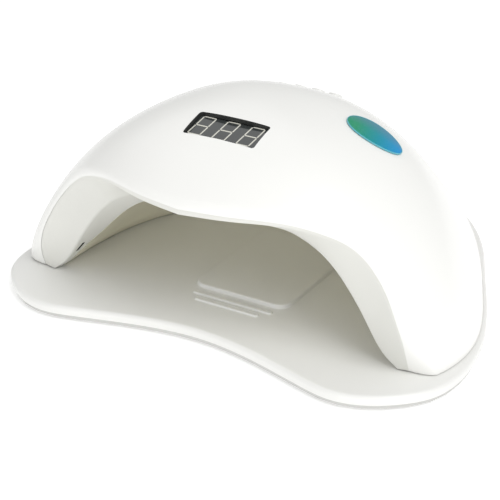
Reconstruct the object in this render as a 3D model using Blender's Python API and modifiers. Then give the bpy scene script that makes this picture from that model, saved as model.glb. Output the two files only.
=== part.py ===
"""UV curing lamp for gel and resin: a lift-off domed lamp head on a lobed base plate.

Metres, +Z up. The origin is on the table under the middle of the lamp's box; the opening for the
hand faces -Y and +X is to the right as seen from the front.
"""
import bpy
import bmesh
import numpy as np
from math import cos, pi, sin, sqrt
from mathutils import Matrix, Vector

# ---- clearances and walls ------------------------------------------------------------------
GAP = 0.0003                # between pieces that touch or nearly touch
COVER_WALL = 0.0024
BEZEL_WALL = 0.0016
LINER_WALL = 0.0016
SEAM_GAP = 0.0012           # shadow gap between the bezel's return and the liner
MOVING_GAP = 0.00035        # round a button
SHELL_TOLERANCE = 0.0005    # extra room for flat pieces under the curved shells

# ---- base ----------------------------------------------------------------------------------
FOOT_HEIGHT = 0.0009
FOOT_RADIUS = 0.0065
TRAY_WALL = 0.0015
TRAY_INSET = 0.0012
PLATE_THICKNESS = 0.0041
PLATE_FILLET = 0.0019
# right half of the plate's outline, front middle to rear middle (x, y)
PLATE_HALF = ((0.0, -0.0872), (0.020, -0.0892), (0.040, -0.0940), (0.058, -0.0992), (0.072, -0.1017),
              (0.086, -0.0985), (0.098, -0.0905), (0.107, -0.0800), (0.1112, -0.0665),
              (0.1115, -0.0500), (0.1085, -0.0320), (0.1015, -0.0110), (0.0925, 0.0100),
              (0.0850, 0.0260), (0.0765, 0.0450), (0.0640, 0.0660), (0.0450, 0.0860),
              (0.0230, 0.0978), (0.0, 0.1015))
REST_WIDTH = 0.048
REST_FRONT_Y = -0.0530
REST_LENGTH = 0.066
REST_HEIGHT = 0.0018
REST_CORNER = 0.006
RIB_WIDTH = 0.0022
RIB_HEIGHT = 0.0009
RIB_PITCH = 0.0050
RIB_LENGTHS = (0.040, 0.032)

# ---- lamp head: outer dome -----------------------------------------------------------------
FOOT_CLEARANCE = 0.0004     # head's lower rim above the base plate
DOME_FRONT_Y = -0.1025
DOME_BACK_Y = 0.0995
SIDE_POWER = 2.37           # squareness of the arch across
CROWN_POWER = 1.38          # squareness of the arch upwards
# (y, half width, height above the rim) before the tail rounds off
DOME_STATIONS = ((-0.1025, 0.0839, 0.0621), (-0.0670, 0.1045, 0.0828), (-0.0315, 0.1081, 0.0900),
                 (0.0035, 0.1005, 0.0877), (0.0215, 0.0967, 0.0780), (0.0395, 0.0938, 0.0655),
                 (0.0575, 0.0911, 0.0545), (0.0995, 0.0840, 0.0420))
# front edge of the dome: arch angle in degrees (0 foot, 90 crown) and y
FRONT_EDGE = ((0.0, -0.0714), (7.0, -0.0731), (13.0, -0.0748), (20.0, -0.0761), (27.0, -0.0764),
              (34.0, -0.0754), (42.0, -0.0748), (50.0, -0.0764), (57.0, -0.0811), (65.0, -0.0871),
              (73.0, -0.0929), (81.0, -0.0970), (90.0, -0.0993))
# the edge's rounded lip: how far back each row lies and its share of the lip's turn inwards
LIP_ROWS = ((0.0, 1.0), (0.0003, 0.55), (0.0012, 0.2), (0.0034, 0.0))
LIP_TURN = 0.0028
LIP_TURN_FOOT = 0.0095      # the turn widens to this at the foot
ARCH_STEPS = 34
DOME_STEPS = 16
SKIRT = 0.004               # shells are made this much too deep, then cut level at the rim

# ---- opening, bezel return and cavity ------------------------------------------------------
OPENING_Y = -0.0725
# half outline of the opening (x, height above the rim)
OPENING_HALF = ((0.0900, -0.004), (0.0872, 0.0), (0.0832, 0.0030), (0.0796, 0.0066),
                (0.0721, 0.0184), (0.0638, 0.0307), (0.0535, 0.0416), (0.0368, 0.0495),
                (0.018, 0.0517), (0.0, 0.0520))
# half outline of the return's rear edge (x, depth behind the opening, height above the rim)
THROAT_HALF = ((0.0885, 0.0038, -0.004), (0.0858, 0.0040, 0.0), (0.0818, 0.0050, 0.0034),
               (0.0780, 0.0068, 0.0080), (0.0695, 0.0108, 0.0172), (0.0598, 0.0120, 0.0275),
               (0.0488, 0.0120, 0.0367), (0.0330, 0.0120, 0.0437), (0.016, 0.0120, 0.0457),
               (0.0, 0.0120, 0.0460))
CAVITY_BACK_Y = 0.0450
CAVITY_RISE = 0.22          # how far the ceiling arches up behind the opening
LINER_STEPS = 11

# ---- display and buttons -------------------------------------------------------------------
WINDOW_WIDTH = 0.0346
WINDOW_DEPTH = 0.0153
WINDOW_Y = -0.0622
WINDOW_CORNER = 0.0012
WINDOW_RECESS = 0.0028
WINDOW_FLANGE = 0.0018
GLASS_THICKNESS = 0.0012
MODULE_THICKNESS = 0.0065
BOARD_THICKNESS = 0.0016
CONTROL_BOARD_SIZE = (0.046, 0.034)
BUTTON_NAMES = ("10s", "30s", "60s", "99s")
BUTTON_Y = 0.0095
BUTTON_RADIUS = 0.0033
BUTTON_PROUD = 0.0013
BUTTON_TRAVEL = 0.0008
BUTTON_FLANGE = 0.0007      # wider than the cap, so that the button can't fall out
BUTTON_SPACE = 0.0008       # between the flanges of two buttons
BUTTON_PITCH = 2 * (BUTTON_RADIUS + BUTTON_FLANGE) + BUTTON_SPACE
BUTTON_SEGMENTS = 18
STEM_ENGAGEMENT = 0.0005    # how far a stem reaches into its switch at rest
SWITCH_BOARD_MARGIN = 0.004
STEM_RADIUS = 0.0010
SWITCH_SIZE = 0.0050
SWITCH_HEIGHT = 0.0026

# ---- light and power -----------------------------------------------------------------------
STRIP_Y = (-0.040, -0.015, 0.010)
STRIP_SIZE = (0.084, 0.012)
BEADS_PER_STRIP = 4
BEAD_PITCH = 0.022
BEAD_RADIUS = 0.0026
BEAD_HOLE_CLEARANCE = 0.0005
DRIVER_BOARD_SIZE = (0.060, 0.026)
DRIVER_BOARD_Y = 0.063
DRIVER_BOARD_LIFT = 0.0022  # above the bottom frame
JACK_SIZE = (0.0090, 0.0140, 0.0090)
JACK_BORE = 0.0032
JACK_PIN = 0.0010
JACK_OPENING_MARGIN = 0.0012
SENSOR_HEIGHT = 0.0124      # IR window's middle above the rim
SENSOR_LENGTH = 0.0060
SENSOR_WIDTH = 0.0018
SENSOR_BOARD_SIZE = (0.0100, 0.0046, 0.0012)
SENSOR_BOARD_SETBACK = 0.0010   # its middle behind the window's middle
SENSOR_WINDOW_REACH = 0.0016    # behind the return's wall
WIRE_RADIUS = 0.0009

# ---- frame, magnets, screws ----------------------------------------------------------------
FRAME_THICKNESS = 0.0020
FRAME_FRONT_Y = -0.0565
MAGNET_RADIUS = 0.0045
MAGNET_THICKNESS = 0.0030
DISC_THICKNESS = 0.0016
MAGNET_PLACES = ((0.0965, -0.0380), (0.0440, 0.0640))
SCREW_PLACES = ((0.0950, -0.0200), (0.0620, 0.0470))
TRAY_SCREW_PLACES = ((0.0600, -0.0700), (0.0560, 0.0560))
RUBBER_FOOT_PLACES = ((0.0860, -0.0780), (0.0420, 0.0740))
SCREW_RADIUS = 0.0013
SCREW_HEAD_RADIUS = 0.0024
SCREW_LENGTH = 0.0075
TRAY_SCREW_LENGTH = 0.0042
SCREW_CLEARANCE = 0.00025
BOSS_RADIUS = 0.0034
BADGE_Y = -0.0208
BADGE_X = 0.0480
BADGE_LONG = 0.0272
BADGE_SHORT = 0.0186
BADGE_THICKNESS = 0.0006

# ---- levels worked out from the sizes above ------------------------------------------------
TRAY_Z = FOOT_HEIGHT + GAP
PLATE_Z = TRAY_Z + TRAY_WALL + GAP
PLATE_TOP = PLATE_Z + PLATE_THICKNESS
RIM_Z = PLATE_TOP + FOOT_CLEARANCE
FRAME_TOP = RIM_Z + FRAME_THICKNESS

LAMP = bpy.data.collections.new("uv_curing_lamp")
CUTTERS = bpy.data.collections.new("cutters")


# ---- scene helpers -------------------------------------------------------------------------
def clear_scene():
    """Remove what the scene holds and link the lamp's two collections."""
    for item in list(bpy.data.objects):
        bpy.data.objects.remove(item)
    bpy.context.scene.collection.children.link(LAMP)
    bpy.context.scene.collection.children.link(CUTTERS)


def finish_for(name, colour, roughness=0.4, metallic=0.0):
    """A Principled material with one colour, roughness and metallic value."""
    material = bpy.data.materials.new(name)
    material.use_nodes = True
    shader = material.node_tree.nodes["Principled BSDF"]
    shader.inputs["Base Color"].default_value = (*colour, 1.0)
    shader.inputs["Roughness"].default_value = roughness
    shader.inputs["Metallic"].default_value = metallic
    return material


def white_gloss(name):
    return finish_for(name, (0.90, 0.90, 0.88), 0.18)


def white_satin(name):
    return finish_for(name, (0.84, 0.84, 0.80), 0.42)


def warm_white(name):
    return finish_for(name, (0.62, 0.61, 0.53), 0.5)


def smoked_glass(name):
    return finish_for(name, (0.03, 0.035, 0.035), 0.12)


def board_green(name):
    return finish_for(name, (0.03, 0.22, 0.09), 0.45)


def board_white(name):
    return finish_for(name, (0.80, 0.80, 0.78), 0.45)


def black_plastic(name):
    return finish_for(name, (0.03, 0.03, 0.03), 0.4)


def grey_rubber(name):
    return finish_for(name, (0.12, 0.12, 0.12), 0.8)


def nickel(name):
    return finish_for(name, (0.75, 0.75, 0.76), 0.25, 1.0)


def steel(name):
    return finish_for(name, (0.55, 0.55, 0.56), 0.35, 1.0)


def badge_blue(name):
    return finish_for(name, (0.05, 0.45, 0.62), 0.25)


def wire_white(name):
    return finish_for(name, (0.70, 0.70, 0.68), 0.5)


def add_part(name, mesh, finish, place=None):
    """Link a mesh as a named sub-part with its own material."""
    part = bpy.data.objects.new(name, mesh)
    mesh.materials.clear()
    mesh.materials.append(finish(name))
    if place is not None:
        part.matrix_world = place
    LAMP.objects.link(part)
    return part


def add_cutter(name, mesh, place=None):
    """Link a mesh as a hidden cutting body."""
    cutter = bpy.data.objects.new(name, mesh)
    cutter.hide_render = True
    cutter.display_type = "WIRE"
    if place is not None:
        cutter.matrix_world = place
    CUTTERS.objects.link(cutter)
    return cutter


def combine(part, other, operation="DIFFERENCE"):
    """Add an exact Boolean with another body to a part."""
    boolean = part.modifiers.new(operation.lower() + "_" + other.name, "BOOLEAN")
    boolean.operation = operation
    boolean.solver = "EXACT"
    boolean.object = other
    return boolean


def mesh_from(name, build):
    """Make a mesh by filling a bmesh with the given function."""
    bm = bmesh.new()
    build(bm)
    bmesh.ops.recalc_face_normals(bm, faces=bm.faces)
    mesh = bpy.data.meshes.new(name)
    bm.to_mesh(mesh)
    bm.free()
    return mesh


def box_mesh(name, size, centre=(0, 0, 0)):
    """A box of the given size."""
    def build(bm):
        matrix = Matrix.Translation(centre) @ Matrix.Diagonal((*size, 1.0))
        bmesh.ops.create_cube(bm, size=1.0, matrix=matrix)
    return mesh_from(name, build)


def rod_mesh(name, radius, height, segments=24, top_radius=None, base_z=0.0):
    """A round rod or cone standing on base_z."""
    upper = radius if top_radius is None else top_radius

    def build(bm):
        matrix = Matrix.Translation((0, 0, base_z + height / 2))
        bmesh.ops.create_cone(bm, cap_ends=True, segments=segments, radius1=radius, radius2=upper,
                              depth=height, matrix=matrix)
    return mesh_from(name, build)


def turned_mesh(name, profile, segments=16):
    """A solid turned about Z from (radius, z) points that run from the bottom axis to the top axis."""
    def build(bm):
        points = [bm.verts.new((radius, 0, z)) for radius, z in profile]
        edges = [bm.edges.new(pair) for pair in zip(points, points[1:])]
        bmesh.ops.spin(bm, geom=points + edges, cent=(0, 0, 0), axis=(0, 0, 1), angle=2 * pi,
                       steps=segments, use_merge=True)
        bmesh.ops.remove_doubles(bm, verts=bm.verts, dist=1e-6)
    return mesh_from(name, build)


def rounded_rectangle(width, depth, corner, steps=4):
    """Corner points of a rectangle with round corners, anticlockwise."""
    points = []
    for index in range(4):
        sx = (1, -1, -1, 1)[index]
        sy = (1, 1, -1, -1)[index]
        middle = Vector((sx * (width / 2 - corner), sy * (depth / 2 - corner)))
        for step in range(steps + 1):
            angle = (index + step / steps) * pi / 2
            points.append(middle + corner * Vector((cos(angle), sin(angle))))
    return points


def slab_mesh(name, outline, z_low, z_high, fillet=0.0, fillet_steps=3):
    """A flat slab of the outline, its top edge rounded by the fillet."""
    def build(bm):
        lower = bm.faces.new([bm.verts.new((x, y, z_low)) for x, y in outline])
        raised = bmesh.ops.extrude_face_region(bm, geom=[lower])["geom"]
        verts = [item for item in raised if isinstance(item, bmesh.types.BMVert)]
        bmesh.ops.translate(bm, verts=verts, vec=(0, 0, z_high - z_low))
        if fillet > 0.0:
            upper = [item for item in raised if isinstance(item, bmesh.types.BMEdge)]
            bmesh.ops.bevel(bm, geom=upper, offset=fillet, offset_type="OFFSET",
                            segments=fillet_steps, profile=0.5, affect="EDGES")
    return mesh_from(name, build)


def mirrored_places(places):
    """Every place on both sides of the middle plane, with a name for each."""
    named = []
    for (x, y), end in zip(places, ("front", "rear")):
        named.append((end + "_right", x, y))
        named.append((end + "_left", -x, y))
    return named


# ---- curves and surfaces -------------------------------------------------------------------
def natural_spline(knots, values):
    """A natural cubic spline through the values (one row per knot), as a function of the knot."""
    t = np.asarray(knots, float)
    v = np.asarray(values, float).reshape(len(t), -1)
    step = np.diff(t)
    matrix = np.eye(len(t))
    right = np.zeros_like(v)
    for i in range(1, len(t) - 1):
        matrix[i, i - 1:i + 2] = (step[i - 1], 2 * (step[i - 1] + step[i]), step[i])
        right[i] = 6 * ((v[i + 1] - v[i]) / step[i] - (v[i] - v[i - 1]) / step[i - 1])
    bend = np.linalg.solve(matrix, right)

    def value(at):
        at = min(max(float(at), t[0]), t[-1])
        i = min(max(int(np.searchsorted(t, at)) - 1, 0), len(t) - 2)
        low = (t[i + 1] - at) / step[i]
        high = (at - t[i]) / step[i]
        curve = ((low ** 3 - low) * bend[i] + (high ** 3 - high) * bend[i + 1]) * step[i] ** 2 / 6
        return low * v[i] + high * v[i + 1] + curve
    return value


def smooth_path(points):
    """A spline through the points, as a function of 0 to 1 along them."""
    rows = np.asarray(points, float)
    length = np.concatenate(([0.0], np.cumsum(np.linalg.norm(np.diff(rows, axis=0), axis=1))))
    return natural_spline(length / length[-1], rows)


def mirrored_path(half):
    """A spline through a half outline and its mirror image, right foot to left foot."""
    left = [(-point[0], *point[1:]) for point in reversed(half[:-1])]
    return smooth_path(list(half) + left)


def closed_path(points):
    """A smooth closed curve through the points, as a function of 0 to 1 round it."""
    wrap = 3
    rows = np.asarray(points[-wrap:] + points + points[:wrap + 1], float)
    length = np.concatenate(([0.0], np.cumsum(np.linalg.norm(np.diff(rows, axis=0), axis=1))))
    curve = natural_spline(length, rows)
    start = length[wrap]
    end = length[wrap + len(points)]
    return lambda share: curve(start + (end - start) * share)


def inset_loop(ring, inset):
    """An anticlockwise loop moved inwards by the inset."""
    moved = []
    for i, point in enumerate(ring):
        along = Vector(ring[(i + 1) % len(ring)]) - Vector(ring[i - 1])
        moved.append(Vector(point) + Vector((-along[1], along[0])).normalized() * inset)
    return moved


def plate_outline(inset=0.0, count=72):
    """The base plate's outline, moved inwards by the inset."""
    left = [(-x, y) for x, y in reversed(PLATE_HALF[1:-1])]
    curve = closed_path(list(PLATE_HALF) + left)
    return inset_loop([curve(i / count) for i in range(count)], inset)


HALF_WIDTH = natural_spline([s[0] for s in DOME_STATIONS], [s[1] for s in DOME_STATIONS])
CROWN = natural_spline([s[0] for s in DOME_STATIONS], [s[2] for s in DOME_STATIONS])


START = natural_spline([edge[0] for edge in FRONT_EDGE], [edge[1] for edge in FRONT_EDGE])
OPENING = mirrored_path(OPENING_HALF)
THROAT = mirrored_path(THROAT_HALF)


def dome_point(y, angle, inset=0.0):
    """A point of the dome, or of the surface inset below it; angle 0 is its right foot."""
    back = DOME_BACK_Y - inset
    along = min(max((y - DOME_FRONT_Y) / (back - DOME_FRONT_Y), 0.0), 1.0)
    tail = sqrt(max(1.0 - along ** 3, 0.0))
    width = (HALF_WIDTH(y)[0] - inset) * tail
    crown = (CROWN(y)[0] - inset) * tail
    across = abs(cos(angle)) ** (2 / SIDE_POWER) * (1 if cos(angle) >= 0 else -1)
    up = abs(sin(angle)) ** (2 / CROWN_POWER)
    return Vector((width * across, y, RIM_Z + crown * up))


def dome_height(x, y, inset=0.0):
    """Height of the dome's surface, or of the one inset below it, over a point of the table."""
    along = (y - DOME_FRONT_Y) / (DOME_BACK_Y - inset - DOME_FRONT_Y)
    tail = sqrt(1.0 - along ** 3)
    share = abs(x) / ((HALF_WIDTH(y)[0] - inset) * tail)
    crown = (CROWN(y)[0] - inset) * tail
    return RIM_Z + crown * (1 - share ** SIDE_POWER) ** (1 / CROWN_POWER)


def dome_half_width(y, height, inset):
    """Half width of the inset dome at a height above the rim; 0 where it is lower than that."""
    along = (y - DOME_FRONT_Y) / (DOME_BACK_Y - inset - DOME_FRONT_Y)
    tail = sqrt(max(1.0 - along ** 3, 0.0))
    crown = (CROWN(y)[0] - inset) * tail
    if crown <= height:
        return 0.0
    width = (HALF_WIDTH(y)[0] - inset) * tail
    return width * (1 - (height / crown) ** CROWN_POWER) ** (1 / SIDE_POWER)


def dome_normal(x, y):
    """The dome's outward direction over a point of the table."""
    step = 0.0005
    slope_x = (dome_height(x + step, y) - dome_height(x - step, y)) / (2 * step)
    slope_y = (dome_height(x, y + step) - dome_height(x, y - step)) / (2 * step)
    return Vector((-slope_x, -slope_y, 1.0)).normalized()


def dome_start(angle):
    """How far forward the dome reaches at this arch angle."""
    degrees = angle * 180 / pi
    return float(START(min(degrees, 180 - degrees))[0])


def lip_turn(angle):
    """How far the dome's front edge turns inwards at this arch angle."""
    return LIP_TURN + (LIP_TURN_FOOT - LIP_TURN) * cos(angle) ** 22


def arch_angles(steps=ARCH_STEPS):
    """Arch angles from the right foot over the crown to the left foot."""
    return [pi * i / steps for i in range(steps + 1)]


def front_rows(inset):
    """The rounded front lip's rows, or the rows that face them on the inner side."""
    rows = []
    for back, share in LIP_ROWS:
        row = []
        for angle in arch_angles():
            start = dome_start(angle)
            if inset > 0.0:
                depth = max(lip_turn(angle) * share, inset)
                row.append(dome_point(start + inset + back * 0.5, angle, depth))
            else:
                row.append(dome_point(start + back, angle, lip_turn(angle) * share))
        rows.append(with_skirt(row))
    return rows


def dome_rows(inset, steps=DOME_STEPS):
    """Rows of dome points from the front edge to the tail; the last row is one point."""
    back = DOME_BACK_Y - inset
    rows = front_rows(inset)
    lip_depth = LIP_ROWS[-1][0] + inset
    starts = [dome_start(angle) + lip_depth for angle in arch_angles()]
    for i in range(1, steps):
        share = 1 - (1 - i / steps) ** 1.6
        row = [dome_point(start + (back - start) * share, angle, inset)
               for start, angle in zip(starts, arch_angles())]
        rows.append(with_skirt(row))
    rows.append([Vector((0, back, RIM_Z))])
    return rows


def with_skirt(row):
    """The row carried straight down below the rim at both feet."""
    drop = Vector((0, 0, -SKIRT))
    return [row[0] + drop] + row + [row[-1] + drop]


def closed_shell(name, outer, inner):
    """One closed body between two matching surfaces whose last rows are single points."""
    def build(bm):
        sheets = []
        for rows in (outer, inner):
            sheets.append([[bm.verts.new(point) for point in row] for row in rows])
        for sheet in sheets:
            for row, after in zip(sheet[:-2], sheet[1:-1]):
                for i in range(len(row) - 1):
                    bm.faces.new((row[i], row[i + 1], after[i + 1], after[i]))
            tip = sheet[-1][0]
            last = sheet[-2]
            for i in range(len(last) - 1):
                bm.faces.new((last[i], last[i + 1], tip))
        first, second = sheets
        for i in range(len(first[0]) - 1):
            bm.faces.new((first[0][i], first[0][i + 1], second[0][i + 1], second[0][i]))
        for side in (0, -1):
            for k in range(len(first) - 2):
                bm.faces.new((first[k][side], first[k + 1][side], second[k + 1][side],
                              second[k][side]))
            bm.faces.new((first[-2][side], first[-1][0], second[-1][0], second[-2][side]))
    return mesh_from(name, build)


def level_cut(part):
    """Cut a shell level at the rim."""
    cutter = bpy.data.objects.get("below_rim")
    if cutter is None:
        depth = 0.05
        cutter = add_cutter("below_rim", box_mesh("below_rim", (0.4, 0.4, depth),
                                                  (0, 0, RIM_Z - depth / 2)))
    combine(part, cutter)


# ---- base ----------------------------------------------------------------------------------
def screw_profile(length):
    """Countersunk screw profile, tip at z = length, head's face at 0."""
    cone = SCREW_HEAD_RADIUS - SCREW_RADIUS
    slot = 0.0006
    return ((0.0, slot), (SCREW_RADIUS * 0.6, slot), (SCREW_RADIUS * 0.8, 0.0),
            (SCREW_HEAD_RADIUS, 0.0), (SCREW_RADIUS, cone), (SCREW_RADIUS, length - SCREW_RADIUS),
            (0.0, length))


def screw_hole_profile(length):
    """The hole that a countersunk screw needs, with running room all round."""
    head = SCREW_HEAD_RADIUS + SCREW_CLEARANCE
    shank = SCREW_RADIUS + SCREW_CLEARANCE
    below = -0.001
    return ((0.0, below), (head, below), (head, SCREW_CLEARANCE / 2),
            (shank, head - shank + SCREW_CLEARANCE / 2), (shank, length + SCREW_CLEARANCE),
            (0.0, length + SCREW_CLEARANCE))


def add_screws(prefix, places, z, length, holders):
    """Countersunk screws driven upwards at the places, and their holes in the holders."""
    for end, x, y in mirrored_places(places):
        place = Matrix.Translation((x, y, z))
        name = prefix + "_" + end
        add_part(name, turned_mesh(name, screw_profile(length), 12), steel, place)
        hole = add_cutter(name + "_hole", turned_mesh(name + "_hole", screw_hole_profile(length), 12),
                          place)
        for holder in holders:
            combine(holder, hole)


def add_rest(plate):
    """The raised hand rest and the low ribs in front of it, joined to the plate."""
    middle_y = REST_FRONT_Y + REST_LENGTH / 2
    overlap = 0.0005
    outline = [p + Vector((0, middle_y))
               for p in rounded_rectangle(REST_WIDTH, REST_LENGTH, REST_CORNER, 5)]
    rest = slab_mesh("rest", outline, PLATE_TOP - overlap, PLATE_TOP + REST_HEIGHT, 0.0007, 2)
    combine(plate, add_cutter("rest", rest), "UNION")
    for i, length in enumerate(RIB_LENGTHS):
        rib_y = REST_FRONT_Y - RIB_PITCH * (i + 1)
        outline = [p + Vector((0, rib_y))
                   for p in rounded_rectangle(length, RIB_WIDTH, RIB_WIDTH * 0.45, 3)]
        name = "rib_" + str(i + 1)
        rib = slab_mesh(name, outline, PLATE_TOP - overlap, PLATE_TOP + RIB_HEIGHT, 0.0004, 2)
        combine(plate, add_cutter(name, rib), "UNION")


def add_base():
    """The base plate with its steel discs, the tray that closes it below, feet and screws."""
    slab = slab_mesh("base_plate", plate_outline(), PLATE_Z, PLATE_TOP, PLATE_FILLET, 3)
    plate = add_part("base_plate", slab, white_satin)
    add_rest(plate)
    tray_slab = slab_mesh("base_tray", plate_outline(TRAY_INSET), TRAY_Z, TRAY_Z + TRAY_WALL)
    tray = add_part("base_tray", tray_slab, white_satin)
    for end, x, y in mirrored_places(MAGNET_PLACES):
        place = Matrix.Translation((x, y, PLATE_Z))
        pocket = rod_mesh("disc_pocket_" + end, MAGNET_RADIUS + GAP, 2 * (DISC_THICKNESS + GAP), 20,
                          base_z=-DISC_THICKNESS - GAP)
        combine(plate, add_cutter("disc_pocket_" + end, pocket, place))
        disc = rod_mesh("steel_disc_" + end, MAGNET_RADIUS, DISC_THICKNESS, 20)
        add_part("steel_disc_" + end, disc, steel, place)
    for end, x, y in mirrored_places(RUBBER_FOOT_PLACES):
        foot = rod_mesh("rubber_foot_" + end, FOOT_RADIUS * 0.94, FOOT_HEIGHT, 24, FOOT_RADIUS)
        add_part("rubber_foot_" + end, foot, grey_rubber, Matrix.Translation((x, y, 0)))
    add_screws("tray_screw", TRAY_SCREW_PLACES, TRAY_Z, TRAY_SCREW_LENGTH, (tray, plate))


# ---- lamp head: shells ---------------------------------------------------------------------
def add_cover():
    """The glossy dome."""
    mesh = closed_shell("top_cover", dome_rows(0.0), dome_rows(COVER_WALL))
    cover = add_part("top_cover", mesh, white_gloss)
    level_cut(cover)
    return cover


def bezel_rows():
    """Rows of the bezel's visible face: cover's lip, cheek, opening edge, return, throat."""
    angles = arch_angles()
    edge_room = BEZEL_WALL + GAP
    lip = []
    mouth = []
    rear = []
    for i, angle in enumerate(angles):
        inset = max(lip_turn(angle), COVER_WALL) + GAP + edge_room * sin(angle) ** 4
        lip.append(dome_point(dome_start(angle), angle, inset))
        share = bezel_share(i / (len(angles) - 1))
        x, z = OPENING(share)
        mouth.append(Vector((x, OPENING_Y, RIM_Z + z)))
        x, depth, z = THROAT(share)
        rear.append(Vector((x, OPENING_Y + depth, RIM_Z + z)))
    drop = Vector((0, 0, -SKIRT))
    lip[0] = lip[0] + drop
    lip[-1] = lip[-1] + drop
    rows = [lip]
    for share in (0.3, 0.6):
        rows.append([a.lerp(b, share) for a, b in zip(lip, mouth)])
    rows.append(mouth)
    rows.append([b.lerp(c, 0.5) for b, c in zip(mouth, rear)])
    rows.append(rear)
    return rows


def bezel_share(share):
    """Share along the opening's outline that faces an equal share of the arch angle."""
    return 0.5 - 0.5 * cos(pi * share) * (1 - 0.12 * sin(pi * share) ** 2)


def open_sheet(name, rows):
    """An open surface through rows of points."""
    def build(bm):
        grid = [[bm.verts.new(point) for point in row] for row in rows]
        for row, after in zip(grid, grid[1:]):
            for i in range(len(row) - 1):
                bm.faces.new((row[i], row[i + 1], after[i + 1], after[i]))
    return mesh_from(name, build)


def add_bezel():
    """The front bezel: cheeks, underside of the brow and the return into the opening."""
    bezel = add_part("front_bezel", open_sheet("front_bezel", bezel_rows()), white_satin)
    solid = bezel.modifiers.new("wall", "SOLIDIFY")
    solid.thickness = BEZEL_WALL
    solid.offset = -1.0
    solid.use_even_offset = True
    level_cut(bezel)
    return bezel


def cavity_along(y, share, outset):
    """How far along the cavity's wall a y lies, 0 at the throat and 1 at the back."""
    front = OPENING_Y + THROAT(share)[1] + SEAM_GAP
    return (y - front) / (CAVITY_BACK_Y + outset - front)


def cavity_point(along, share, outset=0.0):
    """A point of the cavity's wall: along runs 0 at the throat to 1 at the back."""
    x, depth, z = THROAT(share)
    front = OPENING_Y + depth + SEAM_GAP
    back = CAVITY_BACK_Y + outset
    tail = sqrt(max(1 - along ** 3, 0.0))
    rise = 1 + CAVITY_RISE * sin(pi * along)
    half_width = THROAT_HALF[0][0]
    top = THROAT_HALF[-1][2]
    wide = x * (half_width + outset) / half_width * tail
    high = z if z < 0 else z * rise * tail * (top + outset) / top
    return Vector((wide, front + (back - front) * along, RIM_Z + high))


def liner_rows(outset):
    """Rows of cavity points from the throat to the back, which is one point."""
    rows = []
    for i in range(LINER_STEPS):
        along = 1 - (1 - i / LINER_STEPS) ** 1.6
        rows.append([cavity_point(along, k / ARCH_STEPS, outset) for k in range(ARCH_STEPS + 1)])
    rows.append([Vector((0, CAVITY_BACK_Y + outset, RIM_Z))])
    return rows


def add_liner():
    """The arched reflector that lines the cavity."""
    liner = add_part("inner_liner", closed_shell("inner_liner", liner_rows(LINER_WALL),
                                                 liner_rows(0.0)), warm_white)
    level_cut(liner)
    return liner


def surface_place(x, y):
    """A frame on the dome: Z is the outward normal, X runs level to the right."""
    normal = dome_normal(x, y)
    level = Vector((0, 1, 0)).cross(normal).normalized()
    back = normal.cross(level)
    place = Matrix((level, back, normal)).transposed().to_4x4()
    place.translation = (x, y, dome_height(x, y))
    return place


def inner_depth(place, x, y):
    """How far below a surface frame's plane the cover's inner face lies at local x, y."""
    point = place @ Vector((x, y, 0))
    inner = Vector((point.x, point.y, dome_height(point.x, point.y, COVER_WALL)))
    return -(place.inverted() @ inner).z


# ---- cover fastenings ----------------------------------------------------------------------
def dome_core_mesh():
    """A solid with its surface in the middle of the cover's wall, behind the cheeks."""
    inset = COVER_WALL / 2
    front = FRAME_FRONT_Y
    back = DOME_BACK_Y - inset
    angles = arch_angles()
    rows = []
    for i in range(DOME_STEPS):
        y = front + (back - front) * (1 - (1 - i / DOME_STEPS) ** 1.6)
        rows.append(with_skirt([dome_point(y, angle, inset) for angle in angles]))

    def build(bm):
        grid = [[bm.verts.new(point) for point in row] for row in rows]
        for row, after in zip(grid, grid[1:]):
            for i in range(len(row) - 1):
                bm.faces.new((row[i], row[i + 1], after[i + 1], after[i]))
            bm.faces.new((row[0], after[0], after[-1], row[-1]))
        bm.faces.new(grid[0])
        bm.faces.new(grid[-1])
    return mesh_from("dome_core", build)


def add_bosses(cover):
    """Screw bosses that stand down from the dome to the bottom frame, with pilot holes."""
    core = add_cutter("dome_core", dome_core_mesh())
    start = FRAME_TOP + GAP
    for end, x, y in mirrored_places(SCREW_PLACES):
        name = "boss_" + end
        rod = rod_mesh(name, BOSS_RADIUS, dome_height(x, y) - start, 16)
        boss = add_cutter(name, rod, Matrix.Translation((x, y, start)))
        combine(boss, core, "INTERSECT")
        combine(cover, boss, "UNION")


# ---- bottom frame, magnets -----------------------------------------------------------------
def cavity_rim_share():
    """Share along the throat's outline where it crosses the rim's level."""
    low, high = 0.0, 0.25
    for _ in range(30):
        middle = (low + high) / 2
        if THROAT(middle)[2] < 0.0:
            low = middle
        else:
            high = middle
    return high


def frame_outline():
    """The U-shaped plate between the dome's foot and the cavity's foot."""
    inset = COVER_WALL + GAP
    outer = []
    count = 26
    for i in range(count + 1):
        share = sin(i / count * pi / 2)
        y = FRAME_FRONT_Y + (DOME_BACK_Y - inset - FRAME_FRONT_Y) * share
        x = dome_half_width(y, FRAME_THICKNESS, inset) - SHELL_TOLERANCE
        if x > BOSS_RADIUS:
            outer.append(Vector((x, y)))
    inner = []
    rim_share = cavity_rim_share()
    steps = 18
    for i in range(steps):
        along = 1 - (1 - i / steps) ** 1.8
        point = cavity_point(along, rim_share, LINER_WALL + GAP)
        if point.y > FRAME_FRONT_Y:
            inner.append(Vector((point.x, point.y)))
    start = Vector((inner[0].x, FRAME_FRONT_Y))
    inner.insert(0, start)
    tip = Vector((0, CAVITY_BACK_Y + LINER_WALL + GAP))
    mirror = Vector((-1, 1))
    left = [p * mirror for p in reversed(outer)]
    inner_left = [p * mirror for p in inner]
    return outer + left + inner_left + [tip] + list(reversed(inner))


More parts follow.
